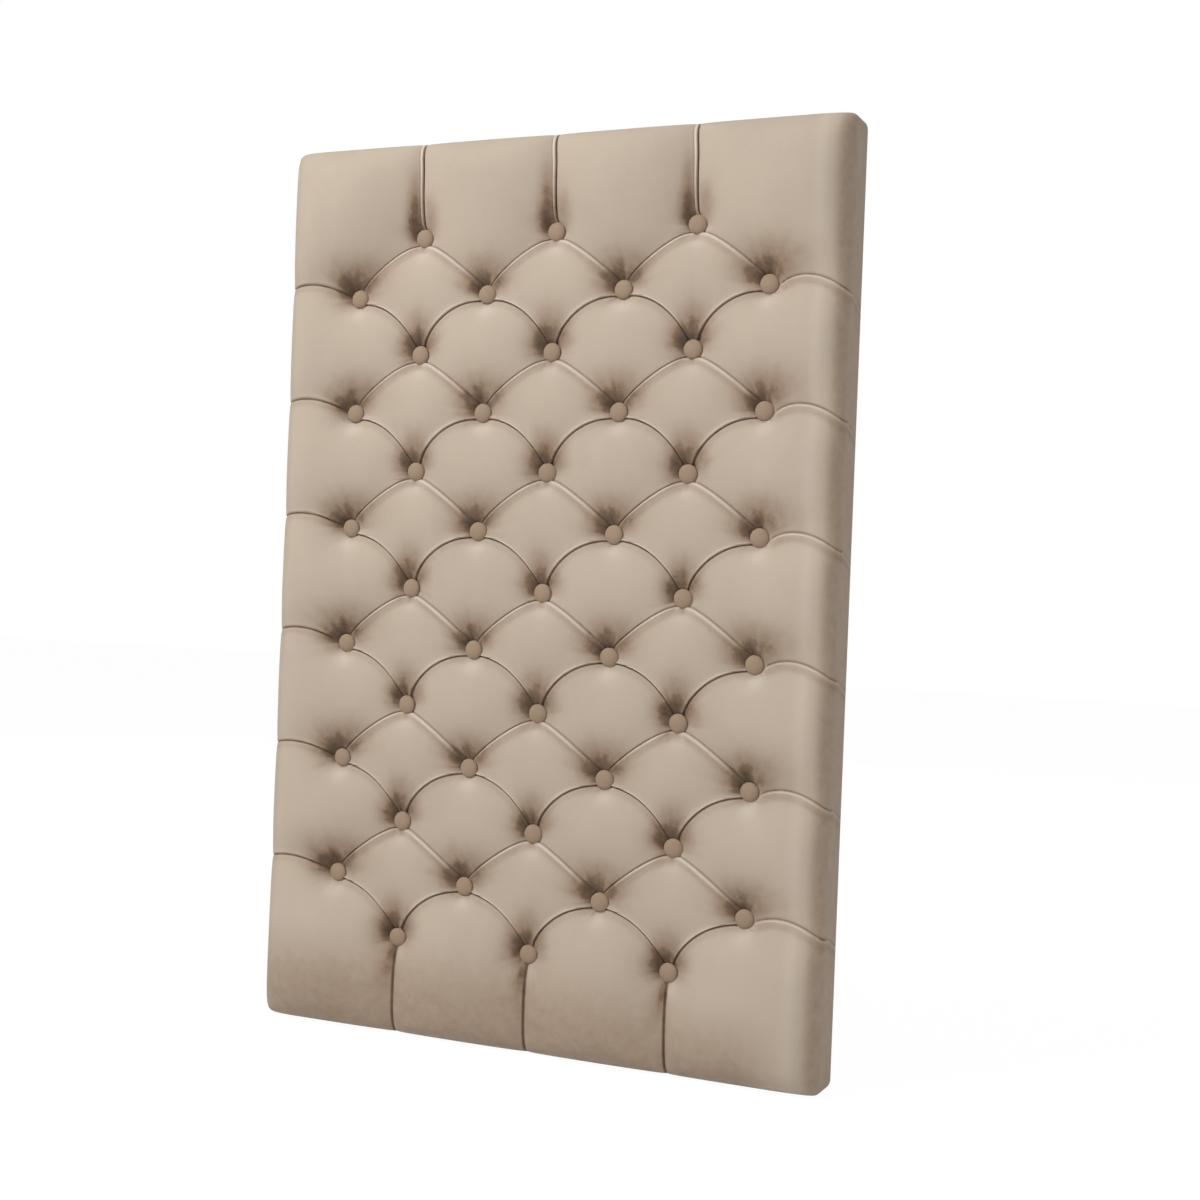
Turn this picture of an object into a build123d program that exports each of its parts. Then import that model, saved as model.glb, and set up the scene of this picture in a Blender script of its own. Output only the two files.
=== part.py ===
from build123d import *
from math import cos, pi, radians, sin, sqrt
import os

os.makedirs("parts", exist_ok=True)

# The panel hangs on a wall. X runs to the right as one faces it, Z is up, and the wall is
# the plane Y = 0. A "depth" is a distance out from the wall, so it lies at Y = -depth.
# The origin is the middle of the back.

# Driving dimensions of the padded panel, in millimetres
panel_width = 610.0
panel_height = 914.0
panel_depth = 60.0
tuft_depth = 25.0
edge_roll = 30.0
corner_radius = 12.0

# The diamond lattice of tufts: short and long rows take turns, half a pitch apart
row_count = 13
short_row_count = 3
tuft_pitch = 150.0
row_pitch = 60.0

# Layers from the wall outwards
dust_cover_thickness = 0.4
velvet_thickness = 1.6
board_thickness = 12.0
padding_thickness = 3.5
core_clearance = 0.3

# Seats of the buttons and the valleys that run between them, as rises above the seats
seat_diameter = 20.0
seat_neck = 10.0
pleat_rise = 7.0
edge_pleat_rise = 14.0
edge_pleat_width = 3.0
side_pleat_rise = 13.0
side_crown_rise = 21.0
side_pleat_swell = 1.5
side_crown_swell = 12.0

# The swell of a pillow at its widest, how much of it a border pillow gives up to the rise of its
# double pleats, and how far a pleat bows downwards
pillow_swell = 20.0
border_fill_share = 0.8
pleat_bow_share = 0.17

# Facets across a pillow, a side and a roll, on the outer skin and inside it
skin_facets = (5, 3, 3)
core_facets = (3, 2, 2)
roll_sections = 4
border_sections = 2

# Covered buttons, from the foot up to the crown
button_diameter = 19.0
button_foot_diameter = 16.0
button_foot_gap = 0.3
button_rim_height = 2.0
button_shoulder_diameter = 16.0
button_shoulder_height = 6.4
button_crown_diameter = 8.0
button_crown_height = 8.6
button_sides = 10

# Twine and its passages
twine_width = 1.4
twine_passage = 2.4
twine_hole_diameter = 6.0
twine_hole_sides = 6
twine_tail_length = 18.0
twine_tail_thickness = 1.0

# Back edge: the velvet's hem and the dust cover over it
board_clearance = 1.0
hem_width = 45.0
dust_cover_margin = 15.0

# Keyhole hanger plates, let into the dust cover, and the room behind them for a screw's head
hanger_spacing = 400.0
hanger_drop = 90.0
hanger_width = 26.0
hanger_height = 66.0
hanger_corner = 6.0
hanger_clearance = 1.0
keyhole_entry_diameter = 10.0
keyhole_slot_width = 5.0
keyhole_rise = 14.0
head_pocket_depth = 7.0
head_pocket_margin = 2.0
screw_spacing = 52.0
screw_hole_diameter = 4.5
screw_sink_diameter = 7.5

# How far cuts run past the surfaces that they open
overrun = 1.0

# Sine of the largest angle at which a corner still counts as lying in a facet's plane, per unit of length
flatness = 1e-6

# Places worked out from the sizes above
half_width = panel_width / 2
half_height = panel_height / 2
half_pitch = tuft_pitch / 2
seat_share = seat_diameter / 2 / row_pitch
widest_pillow = tuft_pitch - 2 * seat_neck
velvet_back = dust_cover_thickness
board_back = velvet_back + velvet_thickness
board_front = board_back + board_thickness
seat_depth = panel_depth - tuft_depth
wall_depth = panel_depth - edge_roll
top_row = row_pitch * (row_count - 1) / 2
seat_top = top_row + seat_diameter / 2
hanger_level = half_height - hanger_drop


def row_height(row):
    """Z of a row of tufts; row 0 is the top one."""
    return top_row - row * row_pitch


def row_places(row):
    """X of each tuft in a row."""
    count = short_row_count + row % 2
    return [(place - (count - 1) / 2) * tuft_pitch for place in range(count)]


tufts = [(x, row_height(row)) for row in range(row_count) for x in row_places(row)]
hangers = [(side * hanger_spacing / 2, hanger_level) for side in (-1, 1)]


def blend(start, end, share):
    return start + (end - start) * share


def facets(a, b, c, d):
    """A flat facet on four corners, or two where they aren't in one plane."""
    twist = (b - a).cross(d - a).normalized().dot(c - a)
    if abs(twist) < flatness:
        return [Face(Wire.make_polygon([a, b, c, d]))]
    return [Face(Wire.make_polygon([a, b, c])), Face(Wire.make_polygon([a, c, d]))]


def form_through(rings):
    """A closed form through flat rings that have as many corners each."""
    faces = [Face(Wire.make_polygon(rings[0])), Face(Wire.make_polygon(rings[-1]))]
    for low, high in zip(rings, rings[1:]):
        for k in range(len(low)):
            faces += facets(low[k - 1], low[k], high[k], high[k - 1])
    return Solid(Shell(faces))


class Section:
    """The padded front at one height: its valleys, swells and sides, as rises above the seats."""

    def __init__(self, height):
        if abs(height) < top_row:
            self.cross_lattice(height)
        else:
            self.cross_border(abs(height))
        past_roll = max(0, abs(height) - half_height + edge_roll) / edge_roll
        self.fall = sqrt(max(0, 1 - past_roll**2))
        past_corner = max(0, abs(height) - half_height + corner_radius)
        self.half_width = half_width - corner_radius + sqrt(corner_radius**2 - past_corner**2)

    def cross_lattice(self, height):
        """Pleats climb from each tuft of the row below to the tufts on both sides in the row above."""
        row = min(r for r in range(row_count) if row_height(r) <= height)
        share = (height - row_height(row)) / row_pitch
        open_share = min(max((share - seat_share) / (1 - 2 * seat_share), 0), 1)
        bowed = open_share - 4 * pleat_bow_share * open_share * (1 - open_share)
        reach = seat_neck / 2 + (half_pitch - seat_neck) * bowed
        over_tuft = pillow_swell * sin(pi / 2 * (2 * reach - seat_neck) / widest_pillow)
        under_tuft = pillow_swell * sin(pi / 2 * (tuft_pitch - 2 * reach - seat_neck) / widest_pillow)
        reach += seat_flare(share) - seat_flare(1 - share)
        valleys = [x + side * reach for x in row_places(row) for side in (-1, 1)]
        long_row = row % 2 == 1
        self.valleys = valleys[1:-1] if long_row else valleys
        pair = (under_tuft, over_tuft) if long_row else (over_tuft, under_tuft)
        self.swells = [pair[k % 2] for k in range(len(self.valleys) - 1)]
        self.rise = pleat_rise * sin(pi * open_share) ** 2
        self.cross_side(share if long_row else 1 - share)

    def cross_border(self, height):
        """A double pleat runs from the seat of each tuft of the end rows to the rolled edge."""
        share = max(0, height - seat_top) / (half_height - seat_top)
        gap = blend(seat_neck, edge_pleat_width, share) + 2 * seat_flare((height - top_row) / row_pitch)
        self.valleys = [x + side * gap / 2 for x in row_places(0) for side in (-1, 1)]
        self.rise = edge_pleat_rise * (1 - (1 - share) ** 2)
        swell = pillow_swell - border_fill_share * self.rise
        self.swells = [(0, swell)[k % 2] for k in range(len(self.valleys) - 1)]
        self.cross_side(1)
        self.side_swell -= self.rise / 2

    def cross_side(self, share):
        """The sides dip at each long row, where a pleat runs from its end tuft over the rolled edge."""
        swelling = 1 - (1 - share) ** 2
        self.shoulder = blend(side_pleat_rise, side_crown_rise, swelling)
        self.side_swell = blend(side_pleat_swell, side_crown_swell, swelling)
        self.end_seat = seat_neck + 2 * seat_flare(share) if share <= seat_share else None

    def front(self, counts, skin):
        """Corners of the front's right half as X and depth, drawn in by a skin, before the roll."""
        across_pillow, across_side = counts
        wall = wall_depth - skin
        valley = blend(wall, seat_depth + self.rise - skin, self.fall)
        shoulder = blend(wall, seat_depth + self.shoulder - skin, self.fall)
        points = []
        for start, end, swell in zip(self.valleys, self.valleys[1:], self.swells):
            points += swollen((start, valley), (end, valley), swell * self.fall, across_pillow)
        corner = (half_width - edge_roll, shoulder)
        last = (self.valleys[-1], valley)
        side = swollen(last, corner, self.side_swell * self.fall, across_side)
        if self.end_seat:
            side[1] = (self.valleys[-1] + self.end_seat, valley)
        return points, side, corner

    def outline(self, facet_counts, skin, back):
        """All corners of the section, from the left of its back round the front."""
        points, side, (edge, shoulder) = self.front(facet_counts[:2], skin)
        half = self.half_width - skin
        wall = wall_depth - skin
        turns = [radians(90 * step / facet_counts[2]) for step in range(facet_counts[2] + 1)]
        roll = [(blend(edge, half, sin(turn)), blend(wall, shoulder, cos(turn))) for turn in turns]
        right = [*side, *roll, (half, back)]
        left = [(-x, depth) for x, depth in reversed(right)]
        return left + points[1:] + right


def swollen(start, end, swell, count):
    """Points from a start up to an end, without it, on a bow that stands above the line between them."""
    shares = [step / count for step in range(count)]
    bow = [4 * swell * share * (1 - share) for share in shares]
    return [
        (blend(start[0], end[0], share), blend(start[1], end[1], share) + rise)
        for share, rise in zip(shares, bow)
    ]


def seat_flare(share):
    """How much wider than its neck a seat is on each side, at this share of a row pitch from its middle."""
    return (seat_diameter - seat_neck) / 2 * max(0, 1 - share / seat_share)


def padded_form(facet_counts, skin, back):
    """The padded panel's form, drawn in by a skin on every side but its back."""
    shares = [0, seat_share, 1 / 2, 1 - seat_share]
    rows = [row_height(row) + share * row_pitch for row in range(1, row_count) for share in shares]
    flat_top = half_height - edge_roll
    border = [blend(seat_top, flat_top, k / border_sections) for k in range(border_sections + 1)]
    turns = [radians(90 * k / roll_sections) for k in range(1, roll_sections + 1)]
    upper = [top_row, *border, *(flat_top + edge_roll * sin(turn) for turn in turns)]
    heights = sorted({-z for z in upper} | set(rows) | set(upper))
    squeeze = (edge_roll - skin) / edge_roll
    rings = []
    for height in heights:
        place = height - (1 - squeeze) * (max(0, height - flat_top) + min(0, height + flat_top))
        outline = Section(height).outline(facet_counts, skin, back)
        rings.append([Vector(x, -depth, place) for x, depth in outline])
    return form_through(rings)


def finish(piece, name):
    piece.label = name
    export_step(piece, f"parts/{name}.step")


# The board behind the padding, drilled for the twine and routed behind the hanger plates
board_width = panel_width - 2 * (padding_thickness + board_clearance)
board_height = panel_height - 2 * (padding_thickness + board_clearance)
pocket_width = keyhole_entry_diameter + 2 * head_pocket_margin
with BuildPart() as back_board:
    with BuildSketch(Plane.XZ.offset(board_back)):
        RectangleRounded(board_width, board_height, corner_radius)
        with Locations(*tufts):
            RegularPolygon(twine_hole_diameter / 2, twine_hole_sides, mode=Mode.SUBTRACT)
    extrude(amount=board_thickness)
    with BuildSketch(Plane.XZ.offset(board_back)):
        with Locations(*((x, z + keyhole_rise / 2) for x, z in hangers)):
            SlotCenterToCenter(keyhole_rise, pocket_width, rotation=90)
    extrude(amount=head_pocket_depth, mode=Mode.SUBTRACT)
finish(back_board.part, "back_board")


# The foam, with a passage for the twine under each tuft
with BuildPart() as foam_pad:
    add(padded_form(core_facets, padding_thickness + core_clearance, board_front))
    with BuildSketch(Plane.XZ.offset(board_front - overrun)):
        with Locations(*tufts):
            Rectangle(twine_passage, twine_passage)
    extrude(amount=panel_depth, mode=Mode.SUBTRACT)
finish(foam_pad.part, "foam_pad")


# The velvet on its wadding, open at the back inside the hem
with BuildPart() as velvet_cover:
    add(padded_form(skin_facets, 0, velvet_back))
    add(padded_form(core_facets, padding_thickness, board_back), mode=Mode.SUBTRACT)
    with BuildSketch(Plane.XZ.offset(velvet_back - overrun)):
        Rectangle(panel_width - 2 * hem_width, panel_height - 2 * hem_width)
    extrude(amount=velvet_thickness + 2 * overrun, mode=Mode.SUBTRACT)
    with BuildSketch(Plane.XZ.offset(board_front)):
        with Locations(*tufts):
            Rectangle(twine_passage, twine_passage)
    extrude(amount=panel_depth, mode=Mode.SUBTRACT)
finish(velvet_cover.part, "velvet_cover")


# The dust cover, cut out round the hanger plates
with BuildPart() as dust_cover:
    with BuildSketch(Plane.XZ):
        Rectangle(panel_width - 2 * dust_cover_margin, panel_height - 2 * dust_cover_margin)
        with Locations(*hangers):
            Rectangle(
                hanger_width + 2 * hanger_clearance,
                hanger_height + 2 * hanger_clearance,
                mode=Mode.SUBTRACT,
            )
    extrude(amount=dust_cover_thickness)
finish(dust_cover.part, "dust_cover")


# Covered buttons, one node to a row
def button_ring(diameter, height):
    turns = [2 * pi * k / button_sides for k in range(button_sides)]
    return [
        Vector(cos(turn) * diameter / 2, -seat_depth - height, sin(turn) * diameter / 2)
        for turn in turns
    ]


with BuildPart() as button:
    add(
        form_through(
            [
                button_ring(button_foot_diameter, button_foot_gap),
                button_ring(button_diameter, button_rim_height),
                button_ring(button_shoulder_diameter, button_shoulder_height),
                button_ring(button_crown_diameter, button_crown_height),
            ]
        )
    )

for row in range(row_count):
    with BuildPart() as button_row:
        with Locations(*((x, 0, row_height(row)) for x in row_places(row))):
            add(button.part)
    finish(button_row.part, f"button_row_{row + 1:02d}")


# Twine from each button through the padding and the board, turned flat behind it
twine_front = seat_depth + button_foot_gap
with BuildPart() as strand:
    with BuildSketch(Plane.XY):
        with BuildLine():
            Polyline(
                (-twine_width / 2, -twine_front),
                (-twine_width / 2, twine_tail_thickness - board_back),
                (twine_tail_length, twine_tail_thickness - board_back),
                (twine_tail_length, -board_back),
                (twine_width / 2, -board_back),
                (twine_width / 2, -twine_front),
                close=True,
            )
        make_face()
    extrude(amount=twine_width / 2, both=True)

with BuildPart() as tufting_twine:
    with Locations(*((x, 0, z) for x, z in tufts)):
        add(strand.part)
finish(tufting_twine.part, "tufting_twine")

# Keyhole hanger plates, flush with the dust cover
with BuildPart() as hanger_plates:
    with BuildSketch(Plane.XZ):
        with Locations(*hangers):
            RectangleRounded(hanger_width, hanger_height, hanger_corner)
            Circle(keyhole_entry_diameter / 2, mode=Mode.SUBTRACT)
        with Locations(*((x, z + keyhole_rise / 2) for x, z in hangers)):
            SlotCenterToCenter(keyhole_rise, keyhole_slot_width, rotation=90, mode=Mode.SUBTRACT)
    extrude(amount=board_back)
    with Locations(*(
        Plane((x, 0, z + side * screw_spacing / 2), x_dir=(1, 0, 0), z_dir=(0, 1, 0))
        for x, z in hangers
        for side in (-1, 1)
    )):
        CounterSinkHole(screw_hole_diameter / 2, screw_sink_diameter / 2)
finish(hanger_plates.part, "hanger_plates")
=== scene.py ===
"""Dresses a diamond-tufted wall panel: velvet cover, padding, covered buttons, back, fittings and stage."""

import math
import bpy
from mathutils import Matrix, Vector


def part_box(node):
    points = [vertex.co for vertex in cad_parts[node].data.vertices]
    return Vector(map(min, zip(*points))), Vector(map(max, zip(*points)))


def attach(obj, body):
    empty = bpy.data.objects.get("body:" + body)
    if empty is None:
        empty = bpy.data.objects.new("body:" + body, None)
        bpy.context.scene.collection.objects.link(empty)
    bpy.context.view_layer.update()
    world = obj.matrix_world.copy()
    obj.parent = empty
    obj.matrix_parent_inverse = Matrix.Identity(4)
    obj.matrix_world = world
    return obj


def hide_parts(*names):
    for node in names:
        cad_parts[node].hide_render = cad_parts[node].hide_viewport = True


bl_info = {
    "name": "Tufted Wall Panel",
    "version": (1, 0, 0),
    "blender": (4, 5, 0),
    "location": "View3D > Sidebar > Tufted Panel",
    "description": "Builds the velvet, buttons, back and finishes of a diamond-tufted wall panel",
    "category": "Object",
}

import bpy
import numpy as np
from bpy.props import FloatProperty, FloatVectorProperty, IntProperty, PointerProperty
from mathutils import Matrix, Vector

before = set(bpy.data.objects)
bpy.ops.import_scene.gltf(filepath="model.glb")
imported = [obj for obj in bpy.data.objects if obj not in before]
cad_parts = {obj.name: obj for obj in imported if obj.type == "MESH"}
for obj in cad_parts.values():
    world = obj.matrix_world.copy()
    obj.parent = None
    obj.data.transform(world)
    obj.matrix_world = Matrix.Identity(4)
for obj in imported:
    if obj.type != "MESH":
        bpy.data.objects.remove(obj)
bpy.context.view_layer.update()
BODY = "root"
ROLL_FULLNESS = 3.3
COVER_LOW, COVER_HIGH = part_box("velvet_cover")
CLOTH_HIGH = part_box("dust_cover")[1]
BOARD_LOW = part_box("back_board")[0]
PLATES_LOW, PLATES_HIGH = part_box("hanger_plates")
BUTTON_ROWS = sorted(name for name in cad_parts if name.startswith("button_row_"))


def length(name, description, default):
    """A length in metres that a user can change."""
    return FloatProperty(
        name=name, description=description, default=default, unit="LENGTH", subtype="DISTANCE",
    )


def colour(name, description, default):
    """A colour that a user can change."""
    return FloatVectorProperty(name=name, description=description, subtype="COLOR", default=default)


class PanelSizes(bpy.types.PropertyGroup):
    """Sizes of the tufted front and its back"""

    tuft_pitch: length("Tuft pitch", "From button to button along a row", 0.15)
    row_pitch: length("Row pitch", "From one row of buttons to the next", 0.06)
    row_count: IntProperty(name="Rows", description="Rows of buttons, short and long in turn", default=13)
    seat_depth: length("Seat depth", "From the wall to the seats of the buttons", 0.035)
    wall_depth: length("Side depth", "From the wall to the start of the rolled edge", 0.03)
    edge_roll: length("Edge roll", "Width of the rolled edge", 0.042)
    corner_radius: length("Corner radius", "Radius of the outline's corners", 0.008)
    button_diameter: length("Button diameter", "Width of a covered button", 0.019)
    long_pleat_rise: length(
        "Long row pleats", "How far a pleat below a row of 4 rises above the seats", 0.0088,
    )
    short_pleat_rise: length(
        "Short row pleats", "How far a pleat below a row of 3 rises above the seats", 0.0085,
    )
    edge_rise: length("Edge rise", "How far the padding stands above the seats at its edge", 0.019)
    lip_height: length("Lip height", "How far the folded lip of a pleat stands up", 0.0015)
    crevice_depth: length("Crevice depth", "Depth of the crevice beside a lip", 0.0024)
    padding_thickness: length("Cover thickness", "Thickness of the velvet and its wadding", 0.0035)
    hem_width: length("Hem width", "Width of the velvet turned under the back", 0.045)
    hem_thickness: length("Hem thickness", "Thickness of the velvet turned under the back", 0.0016)
    swell: FloatProperty(
        name="Swell", description="Pressure of the padding against the cover, as curvature per metre",
        default=11.5, min=0.0, max=40.0,
    )


class PanelColours(bpy.types.PropertyGroup):
    """Colours of the panel's materials"""

    velvet: colour("Velvet", "Colour of the nap", (0.49, 0.405, 0.322))
    # The next three colours are painted light: brown painted shade towards the seats and creases, darker
    # painted shade beside the buttons, and a painted highlight over the folds.
    shade: colour("Shaded nap", "Colour of the nap that leans towards a seat or a crease", (0.25, 0.16, 0.1))
    painted_shade: colour("Hollows", "Colour of the nap pressed flat beside a button", (0.1, 0.067, 0.044))
    painted_highlight: colour("Ridges", "Colour of the nap that is opened over a fold", (0.74, 0.655, 0.57))
    button: colour("Buttons", "Colour of the buttons' velvet", (0.33, 0.238, 0.163))
    dust_cover: colour("Dust cover", "Colour of the cloth over the back", (0.012, 0.012, 0.013))
    zinc: colour("Zinc", "Colour of the plated steel", (0.62, 0.62, 0.6))


def sizes():
    return bpy.context.scene.tufted_panel_sizes


def colours():
    return bpy.context.scene.tufted_panel_colours


class Value:
    """A node's output that can be used in sums."""

    def __init__(self, tree, socket):
        self.tree = tree
        self.socket = socket

    def math(self, operation, other, clamp=False):
        """The outcome of a sum with a number or another output."""
        node = self.tree.nodes.new("ShaderNodeMath")
        node.operation = operation
        node.use_clamp = clamp
        self.tree.links.new(self.socket, node.inputs[0])
        if isinstance(other, Value):
            self.tree.links.new(other.socket, node.inputs[1])
        else:
            node.inputs[1].default_value = other
        return Value(self.tree, node.outputs[0])

    def __add__(self, other):
        return self.math("ADD", other)

    def __sub__(self, other):
        return self.math("SUBTRACT", other)

    def __mul__(self, other):
        return self.math("MULTIPLY", other)

    def clamped(self):
        """The same, kept from 0 to 1."""
        return self.math("ADD", 0.0, clamp=True)


class Finish:
    """A new material on one Principled shader, and the nodes that feed it."""

    def __init__(self, name, **fixed):
        self.material = bpy.data.materials.new(name)
        self.material.use_nodes = True
        self.tree = self.material.node_tree
        self.shader = self.tree.nodes["Principled BSDF"]
        for socket, value in fixed.items():
            self.shader.inputs[socket.replace("_", " ")].default_value = value

    def node(self, kind, settings=None, values=None, output=0):
        """A new node's output. Its inputs get values or other outputs."""
        node = self.tree.nodes.new("ShaderNode" + kind)
        for key, value in (settings or {}).items():
            setattr(node, key, value)
        for key, value in (values or {}).items():
            if isinstance(value, Value):
                self.tree.links.new(value.socket, node.inputs[key])
            else:
                node.inputs[key].default_value = value
        return Value(self.tree, node.outputs[output])

    def place(self, scale=(1.0, 1.0, 1.0), turn=(0.0, 0.0, 0.0)):
        """Object coordinates, stretched and turned."""
        coordinates = self.node("TexCoord", output="Object")
        return self.node("Mapping", values={"Vector": coordinates, "Scale": scale, "Rotation": turn})

    def noise(self, scale, detail=3.0, roughness=0.5, place=None, distortion=0.0):
        values = {"Scale": scale, "Detail": detail, "Roughness": roughness, "Distortion": distortion}
        values["Vector"] = place or self.place()
        return self.node("TexNoise", values=values)

    def spread(self, value, low, high, to_low=0.0, to_high=1.0):
        """A value from low to high, spread over another range and clamped to it."""
        values = {"Value": value, "From Min": low, "From Max": high, "To Min": to_low, "To Max": to_high}
        return self.node("MapRange", values=values)

    def mix(self, share, first, second):
        """A blend of two colours."""
        node = self.tree.nodes.new("ShaderNodeMix")
        node.data_type = "RGBA"
        for place, value in ((0, share), (6, first), (7, second)):
            if isinstance(value, Value):
                self.tree.links.new(value.socket, node.inputs[place])
            else:
                node.inputs[place].default_value = (*value, 1.0)
        return Value(self.tree, node.outputs[2])

    def attribute(self, name):
        return self.node("Attribute", {"attribute_name": name}, output="Fac")

    def feed(self, socket, value):
        self.tree.links.new(value.socket, self.shader.inputs[socket])

    def bump(self, height, strength, distance):
        normal = self.node("Bump", values={"Height": height, "Strength": strength, "Distance": distance})
        self.feed("Normal", normal)


def tint(base, factor):
    """A colour made lighter or darker."""
    return tuple(min(1.0, part * factor) for part in base)


def velvet_finish(name, base, leaning=()):
    """Short-pile velvet: a mottled nap with a soft sheen, with painted shade and a painted highlight over
    folds.
    """
    finish = Finish(name, Sheen_Weight=0.3, Sheen_Roughness=0.4, Specular_IOR_Level=0.2)
    finish.shader.inputs["Sheen Tint"].default_value = (1.0, 0.95, 0.88, 1.0)
    mottle = finish.spread(finish.noise(11.0, 4.0, 0.55), 0.3, 0.7)
    brushed = finish.spread(finish.noise(30.0, 4.0, 0.6, finish.place(scale=(1.0, 1.0, 0.35))), 0.35, 0.7)
    nap = finish.noise(520.0, 3.0, 0.6)
    shade = finish.mix(mottle, tint(base, 0.935), tint(base, 1.04))
    shade = finish.mix(brushed * 0.5, shade, tint(base, 1.09))
    shade = finish.mix(finish.spread(nap, 0.35, 0.65) * 0.4, shade, tint(base, 1.07))
    # The three leaning colours paint shade and highlight onto the velvet, by the shade and fold amounts
    # stored on the mesh.
    if leaning:
        shaded, painted_shade, painted_highlight = leaning
        pressed = finish.attribute("painted_shade")
        cloudy = finish.spread(finish.noise(90.0, 5.0, 0.65), 0.3, 0.7) - 0.5
        pressed = (pressed + cloudy * (pressed * 0.4)).clamped()
        # Painted highlight over the folds, then brown painted shade and the darker painted shade beside the
        # buttons.
        shade = finish.mix(finish.spread(finish.attribute("fold"), 0.0, 1.0, 0.0, 0.72), shade, painted_highlight)
        painted_brown = finish.mix(finish.spread(nap, 0.3, 0.7), tint(shaded, 0.94), tint(shaded, 1.07))
        shade = finish.mix(finish.spread(pressed, 0.0, 0.75), shade, painted_brown)
        shade = finish.mix(finish.spread(pressed, 0.55, 1.0), shade, painted_shade)
    finish.feed("Base Color", shade)
    finish.feed("Roughness", finish.spread(nap, 0.3, 0.7, 0.62, 0.8))
    finish.bump(nap * 0.7 + brushed * 0.3, 0.22, 0.0005)
    return finish.material


def cloth_finish(name, base):
    """Thin non-woven cloth with pressed dots and stray fibres."""
    finish = Finish(name, Specular_IOR_Level=0.2, Sheen_Weight=0.1)
    fibre = finish.noise(260.0, 5.0, 0.7, finish.place(scale=(1.0, 1.0, 0.25)))
    dots = finish.node("TexVoronoi", values={"Vector": finish.place(), "Scale": 700.0}, output="Distance")
    pressed = finish.spread(dots, 0.18, 0.34)
    shade = finish.mix(finish.spread(fibre, 0.35, 0.7), tint(base, 0.7), tint(base, 2.4))
    shade = finish.mix(pressed, tint(base, 0.55), shade)
    finish.feed("Base Color", shade)
    finish.feed("Roughness", finish.spread(fibre, 0.3, 0.7, 0.7, 0.92))
    finish.bump(pressed * 0.6 + fibre * 0.4, 0.4, 0.0004)
    return finish.material


def metal_finish(name, base, roughness):
    """Plated steel, lightly clouded and scratched."""
    finish = Finish(name, Metallic=1.0)
    cloud = finish.noise(60.0, 5.0, 0.6)
    scratch = finish.noise(300.0, 4.0, 0.7, finish.place(scale=(1.0, 1.0, 0.08), turn=(0.0, 0.4, 0.0)))
    shade = finish.mix(finish.spread(cloud, 0.3, 0.7), tint(base, 0.82), tint(base, 1.06))
    finish.feed("Base Color", shade)
    finish.feed("Roughness", finish.spread(cloud * 0.6 + scratch * 0.4, 0.3, 0.7, roughness, roughness + 0.2))
    finish.bump(scratch, 0.15, 0.0003)
    return finish.material


def board_finish(name):
    """Plywood: long pale grain on the faces and stripes of veneer at the edges."""
    finish = Finish(name, Specular_IOR_Level=0.3)
    grain = finish.noise(28.0, 6.0, 0.6, finish.place(scale=(6.0, 1.0, 0.35)), distortion=0.6)
    pores = finish.noise(240.0, 4.0, 0.7, finish.place(scale=(3.0, 1.0, 0.12)))
    wave = {"Vector": finish.place(scale=(0.0, 1.0, 0.0)), "Scale": 110.0, "Distortion": 0.4}
    veneers = finish.node("TexWave", {"bands_direction": "Y"}, wave, output="Fac")
    shade = finish.mix(finish.spread(grain, 0.3, 0.7), (0.42, 0.28, 0.15), (0.62, 0.46, 0.28))
    shade = finish.mix(finish.spread(pores, 0.45, 0.8) * 0.5, shade, (0.28, 0.17, 0.09))
    shade = finish.mix(finish.spread(veneers, 0.4, 0.6) * 0.3, shade, (0.36, 0.23, 0.12))
    finish.feed("Base Color", shade)
    finish.feed("Roughness", finish.spread(pores, 0.3, 0.8, 0.55, 0.8))
    finish.bump(grain * 0.5 + pores * 0.5, 0.3, 0.0005)
    return finish.material


def foam_finish(name):
    """Cream foam with open cells."""
    finish = Finish(name, Specular_IOR_Level=0.2, Subsurface_Weight=0.1)
    cells = finish.node("TexVoronoi", values={"Vector": finish.place(), "Scale": 900.0}, output="Distance")
    cloud = finish.noise(14.0, 4.0, 0.5)
    shade = finish.mix(finish.spread(cloud, 0.3, 0.7), (0.78, 0.7, 0.5), (0.86, 0.8, 0.62))
    shade = finish.mix(finish.spread(cells, 0.0, 0.35), (0.55, 0.46, 0.3), shade)
    finish.feed("Base Color", shade)
    finish.feed("Roughness", finish.spread(cloud, 0.3, 0.7, 0.85, 0.95))
    finish.bump(cells, 0.6, 0.0006)
    return finish.material


def twine_finish(name):
    """Waxed twine with a slanting twist."""
    finish = Finish(name, Specular_IOR_Level=0.35)
    wave = {"Vector": finish.place(turn=(0.6, 0.0, 0.6)), "Scale": 320.0, "Distortion": 0.8}
    twist = finish.node("TexWave", {"bands_direction": "DIAGONAL"}, wave, output="Fac")
    shade = finish.mix(finish.spread(twist, 0.2, 0.8), (0.36, 0.29, 0.18), (0.62, 0.54, 0.38))
    finish.feed("Base Color", shade)
    finish.feed("Roughness", finish.spread(twist, 0.0, 1.0, 0.75, 0.55))
    finish.bump(twist, 0.5, 0.0003)
    return finish.material


def clear_selection():
    if bpy.context.object and bpy.context.object.mode != "OBJECT":
        bpy.ops.object.mode_set(mode="OBJECT")
    bpy.ops.object.select_all(action="DESELECT")


def pick(*pieces):
    """Selects these pieces alone and makes the first one active."""
    clear_selection()
    for piece in pieces:
        piece.select_set(True)
    bpy.context.view_layer.objects.active = pieces[0]


def own(piece, name, material, replaced=()):
    """Names a finished piece, gives it its material and sets it on the panel."""
    piece.name = name
    piece.data.name = name
    piece.data.materials.clear()
    piece.data.materials.append(material)
    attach(piece, BODY)
    if replaced:
        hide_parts(*replaced)
    return piece


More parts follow.
